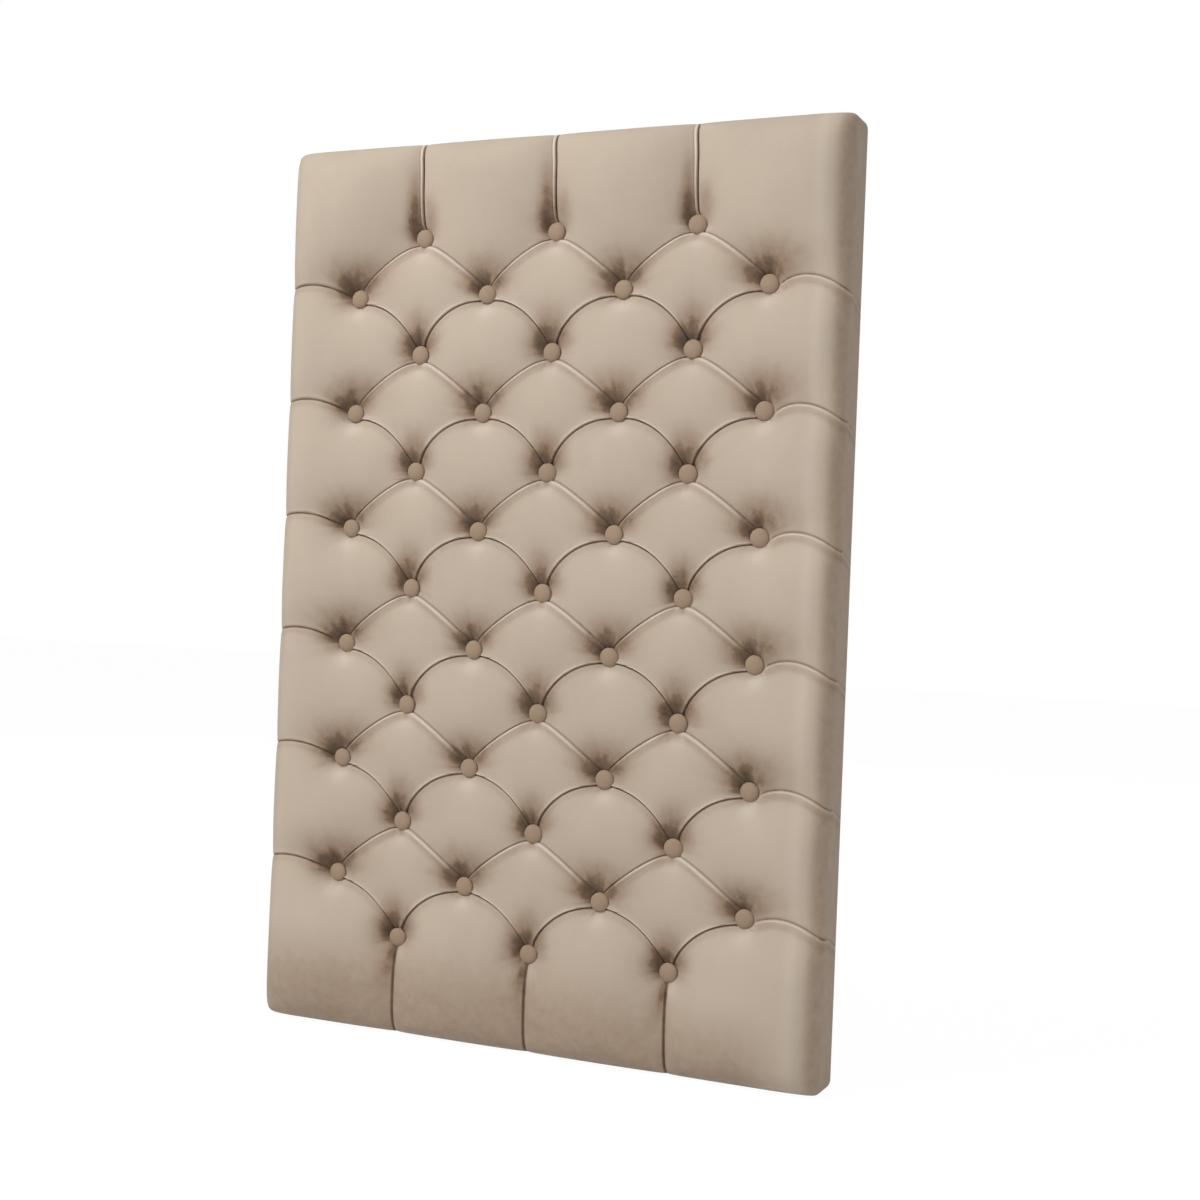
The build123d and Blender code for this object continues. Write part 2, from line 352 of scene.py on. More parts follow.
def smooth(piece, angle):
    """Shades a piece smooth, but for edges sharper than this angle in degrees."""
    pick(piece)
    bpy.ops.object.shade_smooth_by_angle(angle=math.radians(angle))


def places_of(mesh):
    """The corners of a mesh, one row each."""
    places = np.zeros(len(mesh.vertices) * 3, np.float32)
    mesh.vertices.foreach_get("co", places)
    return places.reshape(-1, 3).astype(float)


def set_places(mesh, places):
    mesh.vertices.foreach_set("co", places.astype(np.float32).reshape(-1))
    mesh.update()


def select_faces(mesh, chosen):
    """Selects these faces alone, in object mode, ready for edit mode."""
    for part in (mesh.vertices, mesh.edges):
        part.foreach_set("select", np.zeros(len(part), bool))
    mesh.polygons.foreach_set("select", chosen)


def face_outwards():
    """Turns all faces outwards and leaves edit mode."""
    bpy.ops.mesh.select_all(action="SELECT")
    bpy.ops.mesh.normals_make_consistent(inside=False)
    bpy.ops.object.mode_set(mode="OBJECT")


def join_copies(pattern, placings):
    """Copies of a pattern at these placings, joined into one piece."""
    copies = []
    for placing in placings:
        copy = pattern.copy()
        copy.data = pattern.data.copy()
        bpy.context.scene.collection.objects.link(copy)
        copy.data.transform(placing)
        copies.append(copy)
    pick(*copies)
    bpy.ops.object.join()
    return bpy.context.object


def net(rows, columns):
    """A flat grid of corners as a new piece, selected alone."""
    clear_selection()
    bpy.ops.mesh.primitive_grid_add(x_subdivisions=columns - 1, y_subdivisions=rows - 1, size=1.0)
    piece = bpy.context.object
    if len(piece.data.vertices) != rows * columns:
        raise RuntimeError("a net's rows and columns don't match its places")
    return piece


def blend(start, end, share):
    """The value that share of the way from start to end."""
    return start + (end - start) * share


def ease(share):
    """A smooth rise from 0 to 1."""
    share = np.clip(share, 0.0, 1.0)
    return share * share * (3.0 - 2.0 * share)


def hump(away, width):
    """1 in the middle, and next to nothing from two widths away."""
    return np.exp(-((away / width) ** 2))


def overlaid(first, second):
    """Two shades from 0 to 1, laid over each other."""
    return 1.0 - (1.0 - first) * (1.0 - second)


def roll_off(past):
    """The fall of a rolled edge: 1 where it starts and 0 at the outline."""
    return (1.0 - np.clip(past, 0.0, 1.0) ** ROLL_FULLNESS) ** (1.0 / ROLL_FULLNESS)


def lip_profile(away, reach):
    """A folded lip: it stands up steeply from its crevice and sinks slowly behind."""
    share = away / reach
    return share * np.exp(1.0 - share)


def crowded(reach, count, crowding):
    """So many distances from 0 to just before a reach, crowded at 0."""
    return reach * (np.arange(count) / count) ** crowding


def beside(line, x, z, reach):
    """The places within reach of a line: which they are, how far to its left, and how far along it."""
    low = line.min(axis=0) - reach
    high = line.max(axis=0) + reach
    near = np.nonzero((x > low[0]) & (x < high[0]) & (z > low[1]) & (z < high[1]))
    steps = np.diff(line, axis=0)
    lengths = np.hypot(*steps.T)
    offset = np.stack([x[near], z[near]], axis=1)[:, None] - line[None, :-1]
    share = np.clip((offset * steps).sum(axis=2) / lengths**2, 0.0, 1.0)
    gap = offset - share[..., None] * steps
    best = np.argmin((gap**2).sum(axis=2), axis=1)
    each = np.arange(len(best))
    gap = gap[each, best]
    turn = steps[best, 0] * gap[:, 1] - steps[best, 1] * gap[:, 0]
    along = np.concatenate([[0.0], np.cumsum(lengths)])[best] + share[each, best] * lengths[best]
    return near, np.hypot(*gap.T) * np.where(turn < 0, -1.0, 1.0), along


class Pleats:
    """Where the pleats run: six lines at each height, from the seats of the tufts to the next row's."""

    # A seat's height below its tuft, as a share of the row pitch, and the width of its neck.
    seat_share = 1.0 / 6.0
    neck = 0.01
    steepest_slant = 5.0
    # The pleats below a row of 4 and below a row of 3: how far they bow, how round their upper end is, and
    # the share of the row pitch that the seat above takes.
    long_course = (0.1, 1.15, 0.105)
    short_course = (0.07, 0.42, 0.125)
    # Each kind of fold: its reach, and its height and its crevice's depth as shares of the named ones.
    folds = {"lip": (0.001, 1.0, 1.0), "ribbon": (0.0014, 1.0, 0.6), "band": (0.0019, 1.3, 0.4)}
    lip_crevice_offset = 0.0001
    lip_crevice_widths = (0.00075, 0.0006)
    ribbon_crevice_width = 0.00065
    border_crevice_width = 0.0009
    crevice_fade = 0.003
    crease_reach = 0.013
    crease_width = 0.011
    # The straight pleats: where they leave the seats, the flap's widths at the seats and at the outline, the
    # gap of the single ones, how far they lean to the right, and how far and how soon they rise.
    straight_start = 0.0085
    flap_widths = (0.0036, 0.0046)
    single_gap = 0.0014
    top_lean = -0.0025
    bottom_lean = 0.0032
    straight_rise = 0.0135
    straight_run = 0.022
    # The side pleats, left and right: the arc's height, its bend, its highest place and its reach.
    side_arcs = ((0.0145, 0.011, 0.054, 0.042), (0.0055, 0.0085, 0.038, 0.03))
    arc_end = 0.08
    side_slopes = (0.0, 0.42)
    side_strengths = (0.8, 0.7)
    # The bare seat under a button, and the margin in which the creases begin.
    bare_seat = 0.0078
    bare_margin = 0.0022

    def __init__(self):
        s = sizes()
        self.s = s
        self.half_width = (COVER_HIGH.x - COVER_LOW.x) / 2
        self.half_height = (COVER_HIGH.z - COVER_LOW.z) / 2
        self.half_pitch = s.tuft_pitch / 2
        self.end_tuft = 1.5 * s.tuft_pitch
        self.top_row = s.row_pitch * (s.row_count - 1) / 2
        self.tufts = [(x, self.row_height(row)) for row in range(s.row_count) for x in self.row_places(row)]
        self.long_levels = np.array([self.row_height(row) for row in range(1, s.row_count, 2)])

    def row_height(self, row):
        return self.top_row - row * self.s.row_pitch

    def row_places(self, row):
        """The tufts of a row, in rows of 3 and 4 in turn."""
        return self.places_of_row(3 + row % 2)

    def places_of_row(self, count):
        return [(place - (count - 1) / 2) * self.s.tuft_pitch for place in range(count)]

    def seat_flare(self, share):
        """How much wider than its neck a seat is on each side."""
        return self.neck / 2 * np.sqrt(1.0 - np.clip(share, 0.0, 1.0) ** 2)

    def course(self, opened, bow, shoulder):
        """How far a pleat has gone to the next tuft, and how fast, at a share of its climb."""
        rest = np.sqrt(1.0 - opened)
        gone = opened - bow * opened * (1 - opened) - shoulder * (rest - rest**2)
        speed = 1 - bow * (1 - 2 * opened) + shoulder * (0.5 / np.maximum(rest, 1e-3) - 1)
        return gone, speed

    def cross(self, z):
        """Cuts the front at each height and keeps what a row of corners needs."""
        s = self.s
        level = np.clip(np.floor((z + self.top_row) / s.row_pitch + 1e-6), 0, s.row_count - 2)
        share = np.clip((z + self.top_row) / s.row_pitch - level, 0.0, 1.0)
        long_below = (level % 2 == 1)[:, None]
        self.inside = np.abs(z) <= self.top_row + 1e-9
        self.top = z > 0
        bow, shoulder, upper_seat = np.where(long_below, [self.short_course], [self.long_course]).T
        run = 1.0 - self.seat_share - upper_seat
        opened = np.clip((share - self.seat_share) / run, 0.0, 1.0)
        gone, speed = self.course(opened, bow, shoulder)
        slant = (self.half_pitch - self.neck) * speed / run / s.row_pitch
        between = ease((share - self.seat_share) / 0.03) * ease((1.0 - upper_seat - share) / 0.03)
        slant = np.where(self.inside, np.minimum(slant, self.steepest_slant) * between, 0.0)
        self.spread = np.sqrt(1.0 + slant**2)
        reach = self.neck / 2 + (self.half_pitch - self.neck) * gone
        reach = reach + self.seat_flare(share / self.seat_share) - self.seat_flare((1.0 - share) / upper_seat)
        short = self.lines_from(3, reach)
        long = self.lines_from(4, reach)[:, 1:-1]
        lattice = np.where(long_below, long, short)
        self.lines = np.where(self.inside[:, None], lattice, self.straight_lines(z))

    def straight_lines(self, z):
        """The lines of the straight pleats at each height, and how far they are folded and risen there."""
        past_row = np.clip(np.abs(z) - self.top_row, 0.0, None)
        seat_end = self.seat_share * self.s.row_pitch
        border = (self.half_height - self.top_row) - seat_end
        past_seat = np.clip((past_row - seat_end) / border, 0.0, 1.0)
        wide = np.where(self.top, blend(*self.flap_widths, ease(past_seat)), self.single_gap)
        gap = blend(wide, 2 * self.neck, np.clip(1.0 - past_row / seat_end, 0.0, 1.0) ** 0.5)
        lean = np.where(self.top, self.top_lean * ease((past_seat - 0.6) / 0.4), self.bottom_lean * past_seat)
        self.folded = np.where(self.inside, 0.0, ease((past_row - self.straight_start) / 0.003))
        self.rise = self.straight_rise * (1 - np.exp(-past_row / self.straight_run))
        return self.lines_from(3, gap / 2) + lean[:, None]

    def lines_from(self, count, reach):
        """A line on each side of each tuft of a row of so many."""
        return np.stack([x + side * reach for x in self.places_of_row(count) for side in (-1, 1)], axis=1)

    def side_arc(self, outward, side):
        """How far a side pleat rises above its row of tufts, that far outward from the end tuft."""
        on_front = np.minimum(outward, self.arc_end)
        left, right = (
            height - bend * ((on_front - highest) / reach) ** 2
            for height, bend, highest, reach in self.side_arcs
        )
        fall = np.where(side < 0, *self.side_slopes) * np.clip(outward - self.arc_end, 0.0, None)
        return (np.where(side < 0, left, right) - fall) * ease(outward / self.neck)

    def courses(self):
        """Each curved pleat: its line, whether its upper side is on the left, its kind and its rise."""
        s = self.s
        opened = 1.0 - np.linspace(1.0, 0.0, 40) ** 2
        for row in range(1, s.row_count):
            hangs_from_long = row % 2 == 0
            bow, shoulder, upper_seat = self.long_course if hangs_from_long else self.short_course
            gone, _ = self.course(opened, bow, shoulder)
            across = self.neck / 2 + (self.half_pitch - self.neck) * gone
            climb = s.row_pitch * (self.seat_share + (1.0 - self.seat_share - upper_seat) * opened)
            for x in self.row_places(row):
                for side in (-1, 1):
                    if abs(x + side * self.half_pitch) > self.end_tuft + 0.001:
                        continue
                    line = np.stack([x + side * across, self.row_height(row) + climb], axis=1)
                    start = np.array([[x + side * 0.0035, self.row_height(row) + 0.0065]])
                    kind = "lip" if hangs_from_long else "ribbon" if side > 0 else "band"
                    rise = s.long_pleat_rise if hangs_from_long else s.short_pleat_rise
                    yield np.concatenate([start, line]), side > 0, kind, rise

    def side_courses(self):
        """Each side pleat, from its end tuft over the outline and down the side: its line, whether its upper
        side is on the left, and its kind."""
        end = self.half_width - self.end_tuft + self.s.wall_depth
        outward = np.linspace(self.straight_start, end, 60)
        for side, kind in ((-1, "lip"), (1, "ribbon")):
            arc = self.side_arc(outward, side)
            for level in self.long_levels:
                yield np.stack([side * (self.end_tuft + outward), level + arc], axis=1), side > 0, kind

    def straight_courses(self):
        """The lines of the straight pleats past the end rows, from seat to outline: each line, whether it is
        at the top, and whether it is the right one of its pleat."""
        z = np.linspace(self.top_row + self.straight_start, self.half_height, 60)
        for side in (1, -1):
            self.cross(side * z)
            for line in self.lines.T:
                tuft_x = round(line[0] / self.s.tuft_pitch) * self.s.tuft_pitch
                yield np.stack([line, side * z], axis=1), side > 0, line[0] > tuft_x

    def crease(self, upward, kind):
        """How far the cover stands up beside a pleat, that far above its line."""
        away = np.abs(upward)
        reach, height_share, depth_share = self.folds[kind]
        depth = depth_share * self.s.crevice_depth
        fold = height_share * self.s.lip_height * lip_profile(away, reach)
        if kind == "lip":
            offset = self.lip_crevice_offset
            crevice = hump(upward + offset, np.where(upward < -offset, *self.lip_crevice_widths))
            soft = np.where(upward < 0, 0.2 * np.exp(-away / self.crevice_fade), 0.0)
            return np.where(upward > 0, fold, 0.0) - depth * np.maximum(crevice, soft)
        dip = 0.3 * self.s.lip_height * hump(away - 3.3 * reach, 0.75 * reach)
        return np.where(upward < 0, fold - dip, 0.0) - depth * hump(away, self.ribbon_crevice_width)

    def border_crease(self, away):
        """How far the cover sinks beside a straight pleat, that far away from its line."""
        soft = 0.22 * np.exp(-away / self.crevice_fade)
        return -self.s.crevice_depth * np.maximum(hump(away, self.border_crevice_width), soft)

    def off_seats(self, x, z):
        """0 on the seats of the buttons and 1 outside them."""
        across = self.half_pitch
        column = (x / across) % 2
        row = ((z + self.top_row) / self.s.row_pitch) % 2
        even = np.hypot(np.minimum(column, 2 - column) * across, np.minimum(row, 2 - row) * self.s.row_pitch)
        odd = np.hypot((1 - column) * across, (1 - row) * self.s.row_pitch)
        return ease((np.minimum(even, odd) - self.bare_seat) / self.bare_margin)

    def add_crease(self, total, x, z, pleat, start, strength=1.0):
        """Adds the crevice and the fold of one pleat, which begin that far along its line."""
        line, upper_on_left, kind = pleat
        near, left, along = beside(line, x, z, self.crease_reach)
        upward = left if upper_on_left else -left
        fade = ease(along / start) * strength
        total[near] += self.crease(upward, kind) * np.exp(-((left / self.crease_width) ** 6)) * fade

    def creases(self, x, z):
        """How far the cover stands up beside the curved pleats, at any places."""
        total = np.zeros_like(x)
        for *pleat, _ in self.courses():
            self.add_crease(total, x, z, pleat, 0.003)
        total *= self.off_seats(x, z)
        for pleat in self.side_courses():
            self.add_crease(total, x, z, pleat, 0.004, self.side_strengths[int(pleat[1])])
        return total


class Padding:
    """How far the cover stands above the seats: a skin under the foam's pressure, held by the tufts
    and drawn in along the pleats, relaxed on an even net of points."""

    step = 0.0015
    rounds = 260
    relaxation = 1.78
    # How firmly pleats and buttons hold the skin, and how wide.
    pleat_reach = 0.005
    pleat_grip = 2.5
    straight_width = 0.0013
    curved_width = 0.0014
    side_width = 0.0016
    button_grip = 60.0
    button_hold = 0.0072
    button_margin = 0.0011
    # How far along it a pleat rises from its seats, and how high a side pleat stands.
    curved_run = 0.013
    side_run = 0.014
    side_rise = 0.0165
    # Long waves in the foam's pressure: how many, their lengths and their share of it.
    wave_count = 14
    wave_lengths = (0.07, 0.2)
    wave_share = 0.045

    def __init__(self, pleats):
        s = sizes()
        self.pleats = pleats
        across = int(round(pleats.half_width / self.step)) + 2
        along = int(round(pleats.half_height / self.step)) + 2
        self.x = np.arange(-across, across + 1) * self.step
        self.z = np.arange(-along, along + 1) * self.step
        x, z = np.meshgrid(self.x, self.z)
        hold, target = self.holds(x, z)
        rng = np.random.default_rng(5)
        uneven = np.zeros_like(x)
        for _ in range(self.wave_count):
            turn = rng.uniform(0.0, 2 * math.pi)
            wave = 2 * math.pi / rng.uniform(*self.wave_lengths)
            uneven += np.cos(wave * (x * math.cos(turn) + z * math.sin(turn)) + rng.uniform(0.0, 2 * math.pi))
        push = s.swell * self.step**2 * (1.0 + self.wave_share * uneven)
        self.rise = self.relax(hold, target, push, s.edge_rise)

    def holds(self, x, z):
        """How firmly each point is held, and the height that it is held at, times that firmness."""
        pleats = self.pleats
        pleats.cross(self.z)
        hold = np.zeros_like(x)
        target = np.zeros_like(x)
        for line in pleats.lines.T:
            grip = self.pleat_grip * hump(x - line[:, None], self.straight_width) * ~pleats.inside[:, None]
            hold += grip
            target += grip * pleats.rise[:, None]
        for line, _, _, rise in pleats.courses():
            near, left, along = beside(line, x, z, self.pleat_reach)
            left_over = np.hypot(*np.diff(line, axis=0).T).sum() - along
            grip = self.pleat_grip * hump(left, self.curved_width)
            hold[near] += grip
            risen = (1 - np.exp(-along / self.curved_run)) * (1 - np.exp(-left_over / self.curved_run))
            target[near] += grip * rise * risen
        for line, _, _ in pleats.side_courses():
            near, left, along = beside(line, x, z, self.pleat_reach)
            grip = self.pleat_grip * hump(left, self.side_width) * ease((along + 0.001) / 0.004)
            hold[near] += grip
            target[near] += grip * self.side_rise * (1 - np.exp(-along / self.side_run))
        for tuft_x, tuft_z in pleats.tufts:
            away = np.hypot(x - tuft_x, z - tuft_z)
            hold += self.button_grip * hump(np.clip(away - self.button_hold, 0.0, None), self.button_margin)
        return hold, target

    def relax(self, hold, target, push, edge_rise):
        """The skin's rise: each half of the net's points in turn moves to its balance, many times."""
        rise = np.full(hold.shape, edge_rise)
        inner = (slice(1, -1), slice(1, -1))
        parity = np.add.outer(np.arange(hold.shape[0]), np.arange(hold.shape[1]))[inner] % 2
        halves = (parity == 0, parity == 1)
        pull = (push + target)[inner]
        weight = 4.0 + hold[inner]
        for _ in range(self.rounds):
            for half in halves:
                around = rise[:-2, 1:-1] + rise[2:, 1:-1] + rise[1:-1, :-2] + rise[1:-1, 2:]
                change = (around + pull) / weight - rise[inner]
                rise[inner] += self.relaxation * change * half
        return rise

    def at(self, x, z):
        """The rise at any point, read smoothly between the points of the net."""
        across = (x - self.x[0]) / self.step
        along = (z - self.z[0]) / self.step
        column = np.clip(np.floor(across).astype(int), 1, len(self.x) - 3)
        row = np.clip(np.floor(along).astype(int), 1, len(self.z) - 3)
        shares_x = self.weights(np.clip(across - column, 0.0, 1.0))
        shares_z = self.weights(np.clip(along - row, 0.0, 1.0))
        total = np.zeros_like(x)
        for k, share_z in enumerate(shares_z):
            for j, share_x in enumerate(shares_x):
                total += share_z * share_x * self.rise[row + k - 1, column + j - 1]
        return total

    @staticmethod
    def weights(f):
        """Each neighbour's share in a smooth reading, for a share of the way from the second to the third."""
        return (
            (1 - f) ** 3 / 6,
            (3 * f**3 - 6 * f**2 + 4) / 6,
            (-3 * f**3 + 3 * f**2 + 3 * f + 1) / 6,
            f**3 / 6,
        )


class TuftedFront:
    """Places of the corners of the front: rows crowd at the tufts, and columns follow the pleats."""

    # The cover, its lining and the foam share one relaxed skin.
    shared_padding = None
    row_crowding = 1.6
    # The seat above a row of pleats, as a share of the row pitch.
    upper_seat_share = 0.118
    # The crowded columns beside a pleat: how wide, at most which share of the strip, and how crowded.
    near_width = 0.008
    near_share = 0.45
    near_crowding = 1.25
    far_crowding = 1.2
    # The strength of a straight pleat's weaker line, at the top and at the bottom, and how far the flap
    # between its lines stands up, as a share of the lip's height.
    weak_lines = (0.12, 0.8)
    flap_share = 0.9
    flap_roundness = 0.7
    # Fine creases at each seat: how many, their mean direction and its spread, widths, lengths and depths.
    pucker_count = 11
    pucker_turns = (2.3, 0.85)
    pucker_widths = (0.1, 0.24)
    pucker_lengths = (0.016, 0.036)
    pucker_depths = (-0.001, 0.0014)
    pucker_reach = 0.05

    def __init__(self, fine):
        self.s = sizes()
        self.fine = fine
        self.pleats = Pleats()
        if TuftedFront.shared_padding is None:
            TuftedFront.shared_padding = Padding(self.pleats)

    def heights(self):
        """Heights of the rows, crowded where the seats end."""
        pleats = self.pleats
        pitch = self.s.row_pitch
        few, many, border_rows, roll_rows = (7, 12, 15, 20) if self.fine else (2, 4, 5, 7)

        def to_seat_end(seat):
            return seat * (1.0 - (1.0 - np.arange(few) / few) ** self.row_crowding)

        def from_row(seat):
            beyond = pitch / 2 - seat
            rest = seat + np.append(crowded(beyond, many, self.row_crowding), beyond)
            return np.concatenate([to_seat_end(seat), rest])

        seat = pleats.seat_share * pitch
        above = from_row(seat)
        below = from_row(self.upper_seat_share * pitch)
        rows = [pleats.row_height(row) for row in range(self.s.row_count)]
        lattice = np.array([row + offset for row in rows for offset in (*above, *-below)])
        lattice = lattice[np.abs(lattice) <= pleats.top_row + 1e-7]
        flat_top = pleats.half_height - self.s.edge_roll
        border = np.linspace(pleats.top_row + seat, flat_top, border_rows)
        roll = flat_top + self.s.edge_roll * np.sin(np.radians(np.linspace(0.0, 90.0, roll_rows)))
        upper = np.concatenate([pleats.top_row + to_seat_end(seat), border, roll])
        return np.unique(np.round(np.concatenate([lattice, upper, -upper]), 6))

    def near(self, width):
        """How wide the crowded columns beside a pleat are, for each row of a strip this wide."""
        return np.minimum(self.near_width * self.pleats.spread, self.near_share * width)

    def columns(self, width):
        """Distances from a pleat's line up to that far, crowded at the line, for each row."""
        count_near, count_far = (9, 9) if self.fine else (2, 3)
        rows = []
        for near, far in zip(self.near(width), width):
            first = crowded(near, count_near, self.near_crowding)
            rest = near + np.append(crowded(far - near, count_far, self.far_crowding), far - near)
            rows.append(np.concatenate([first, rest]))
        return np.stack(rows)

    def strips(self):
        """Each strip between two lines: x of its corners, and their distances from the two lines."""
        lines = self.pleats.lines
        for left, right in zip(lines.T, lines.T[1:]):
            half = self.columns((right - left) / 2)
            x = np.concatenate([left[:, None] + half, (right[:, None] - half)[:, -2::-1]], axis=1)
            yield x, x - left[:, None], right[:, None] - x

    def line_strength(self, weak):
        """How strong a line of the straight pleats is, for each row."""
        return np.where(self.pleats.top, *(self.weak_lines if weak else (1.0, 1.0)))[:, None]

    def border_creases(self, flap, from_left, from_right):
        """How far the cover stands up in a strip past the end rows, which may be a pleat's flap."""
        total = np.zeros_like(from_left)
        for away, weak in ((from_left, flap), (from_right, not flap)):
            total += self.pleats.border_crease(away) * self.line_strength(weak)
        if flap:
            middle = 4 * from_left * from_right / (from_left + from_right) ** 2
            raised = np.where(self.pleats.top[:, None], self.flap_share * self.s.lip_height, 0.0)
            total += raised * middle**self.flap_roundness
        return total * self.pleats.folded[:, None]

    def side_strip(self, line, half_width):
        """Distances outward from the outermost line, and from there over the roll to the outline."""
        count_near, count_mid, count_roll = (9, 30, 20) if self.fine else (2, 6, 7)
        reach = half_width - self.s.edge_roll - line
        rows = []
        for near, far in zip(self.near(reach), reach):
            first = crowded(near, count_near, self.near_crowding)
            rows.append(np.concatenate([first, np.linspace(near, far, count_mid)]))
        turns = np.sin(np.radians(np.linspace(0.0, 90.0, count_roll)))[1:]
        roll = reach[:, None] + self.s.edge_roll * turns[None, :]
        return np.concatenate([np.array(rows), roll], axis=1)

    def side_piece(self, side, half_width):
        """X of the corners past the outermost line on one side, from the line outwards, and their creases."""
        line = side * self.pleats.lines[:, -1 if side > 0 else 0]
        outward = self.side_strip(line, half_width)
        strength = self.line_strength(side < 0) * self.pleats.folded[:, None]
        return side * (line[:, None] + outward), self.pleats.border_crease(outward) * strength

    def grid(self, skin):
        """X, Z and depth of every corner, drawn in by a skin."""
        s = self.s
        pleats = self.pleats
        z = self.heights()
        pleats.cross(z)
        past = np.clip(np.abs(z) - (pleats.half_height - s.corner_radius), 0.0, None)
        rounded = np.sqrt(np.clip(s.corner_radius**2 - past**2, 0, None))
        half_width = pleats.half_width - s.corner_radius + rounded
        left = self.side_piece(-1, half_width)
        right = self.side_piece(1, half_width)
        pieces = [[part[:, :0:-1] for part in left]]
        for strip, (x, from_left, from_right) in enumerate(self.strips()):
            crease = self.border_creases(strip % 2 == 0, from_left, from_right)
            pieces.append([x[:, :-1], crease[:, :-1]])
        pieces[-1] = [x, crease]
        pieces.append([part[:, 1:] for part in right])
        x, crease = (np.concatenate(parts, axis=1) for parts in zip(*pieces))
        past_side = (np.abs(x) - (half_width[:, None] - s.edge_roll)) / s.edge_roll
        past_end = (np.abs(z) - (pleats.half_height - s.edge_roll)) / s.edge_roll
        roll = roll_off(past_side) * roll_off(past_end)[:, None]
        heights = self.raised(x, z)
        rise = TuftedFront.shared_padding.at(x, heights)
        if self.fine:
            crease = crease + pleats.creases(x, heights)
            rise = rise + self.puckers(x, heights) + crease * np.clip(3.0 * roll, 0.0, 1.0)
        depth = s.wall_depth + (s.seat_depth + rise - s.wall_depth) * roll - skin
        x = x - np.sign(x) * skin * np.clip(past_side, 0.0, 1.0)
        heights = heights - (np.sign(z) * skin * np.clip(past_end, 0.0, 1.0))[:, None]
        return x, heights, depth

    def raised(self, x, z):
        """Heights of the corners once the rows beside the end tufts follow the side pleats."""
        pleats = self.pleats
        outward = np.clip(np.abs(x) - pleats.end_tuft, 0.0, None)
        away = np.min(np.abs(z[:, None] - pleats.long_levels[None, :]), axis=1)
        pull = np.cos(np.pi / 2 * np.clip(away / self.s.row_pitch, 0.0, 1.0)) ** 2
        return z[:, None] + pleats.side_arc(outward, np.sign(x)) * pull[:, None]

    def puckers(self, x, z):
        """Fine creases that run out from the seats, most of them upwards and to the left."""
        rng = np.random.default_rng(11)
        radius = self.s.button_diameter / 2
        total = np.zeros_like(x)
        for tuft_x, tuft_z in self.pleats.tufts:
            rows = np.nonzero(np.any(np.abs(z - tuft_z) < self.pucker_reach, axis=1))[0]
            band = slice(rows[0], rows[-1] + 1)
            dx = x[band] - tuft_x
            dz = z[band] - tuft_z
            away = np.hypot(dx, dz)
            turn = np.arctan2(dz, dx)
            starts = np.clip((away - radius * 0.8) / 0.004, 0, 1)
            ripple = np.zeros_like(away)
            for _ in range(self.pucker_count):
                centre = rng.normal(*self.pucker_turns)
                width = rng.uniform(*self.pucker_widths)
                reach = rng.uniform(*self.pucker_lengths)
                deep = rng.uniform(*self.pucker_depths)
                off = (turn - centre + np.pi) % (2 * np.pi) - np.pi
                out = starts * np.clip(1 - (away - radius) / reach, 0, 1) ** 1.3
                ripple += deep * hump(off, width) * out
            total[band] -= ripple
        return total


def padded_piece(front, skin):
    """The tufted front as a new piece, still open at its outline."""
    x, z, depth = front.grid(skin)
    piece = net(*x.shape)
    set_places(piece.data, np.stack([x, -depth, z], axis=-1))
    return piece


def select_outline():
    """Selects the open edge of the active piece and stays in edit mode."""
    bpy.ops.object.mode_set(mode="EDIT")
    bpy.ops.mesh.select_mode(type="EDGE")
    bpy.ops.mesh.select_all(action="SELECT")
    bpy.ops.mesh.region_to_loop()


class OutlineRing:
    """The open edge of a padded piece, carried backwards and inwards ring by ring in edit mode."""

    def __init__(self, front, skin):
        self.half_width = front.pleats.half_width
        self.half_height = front.pleats.half_height
        self.depth = front.s.wall_depth - skin
        self.drawn = skin

    def to(self, depth, drawn):
        """A new ring at this depth, drawn in this far from the cover's outline."""
        move = {"value": (0.0, self.depth - depth, 0.0)}
        bpy.ops.mesh.extrude_region_move(TRANSFORM_OT_translate=move)
        across = (self.half_width - drawn) / (self.half_width - self.drawn)
        along = (self.half_height - drawn) / (self.half_height - self.drawn)
        if drawn != self.drawn:
            bpy.ops.transform.resize(value=(across, 1.0, along), center_override=(0.0, 0.0, 0.0))
        self.depth = depth
        self.drawn = drawn


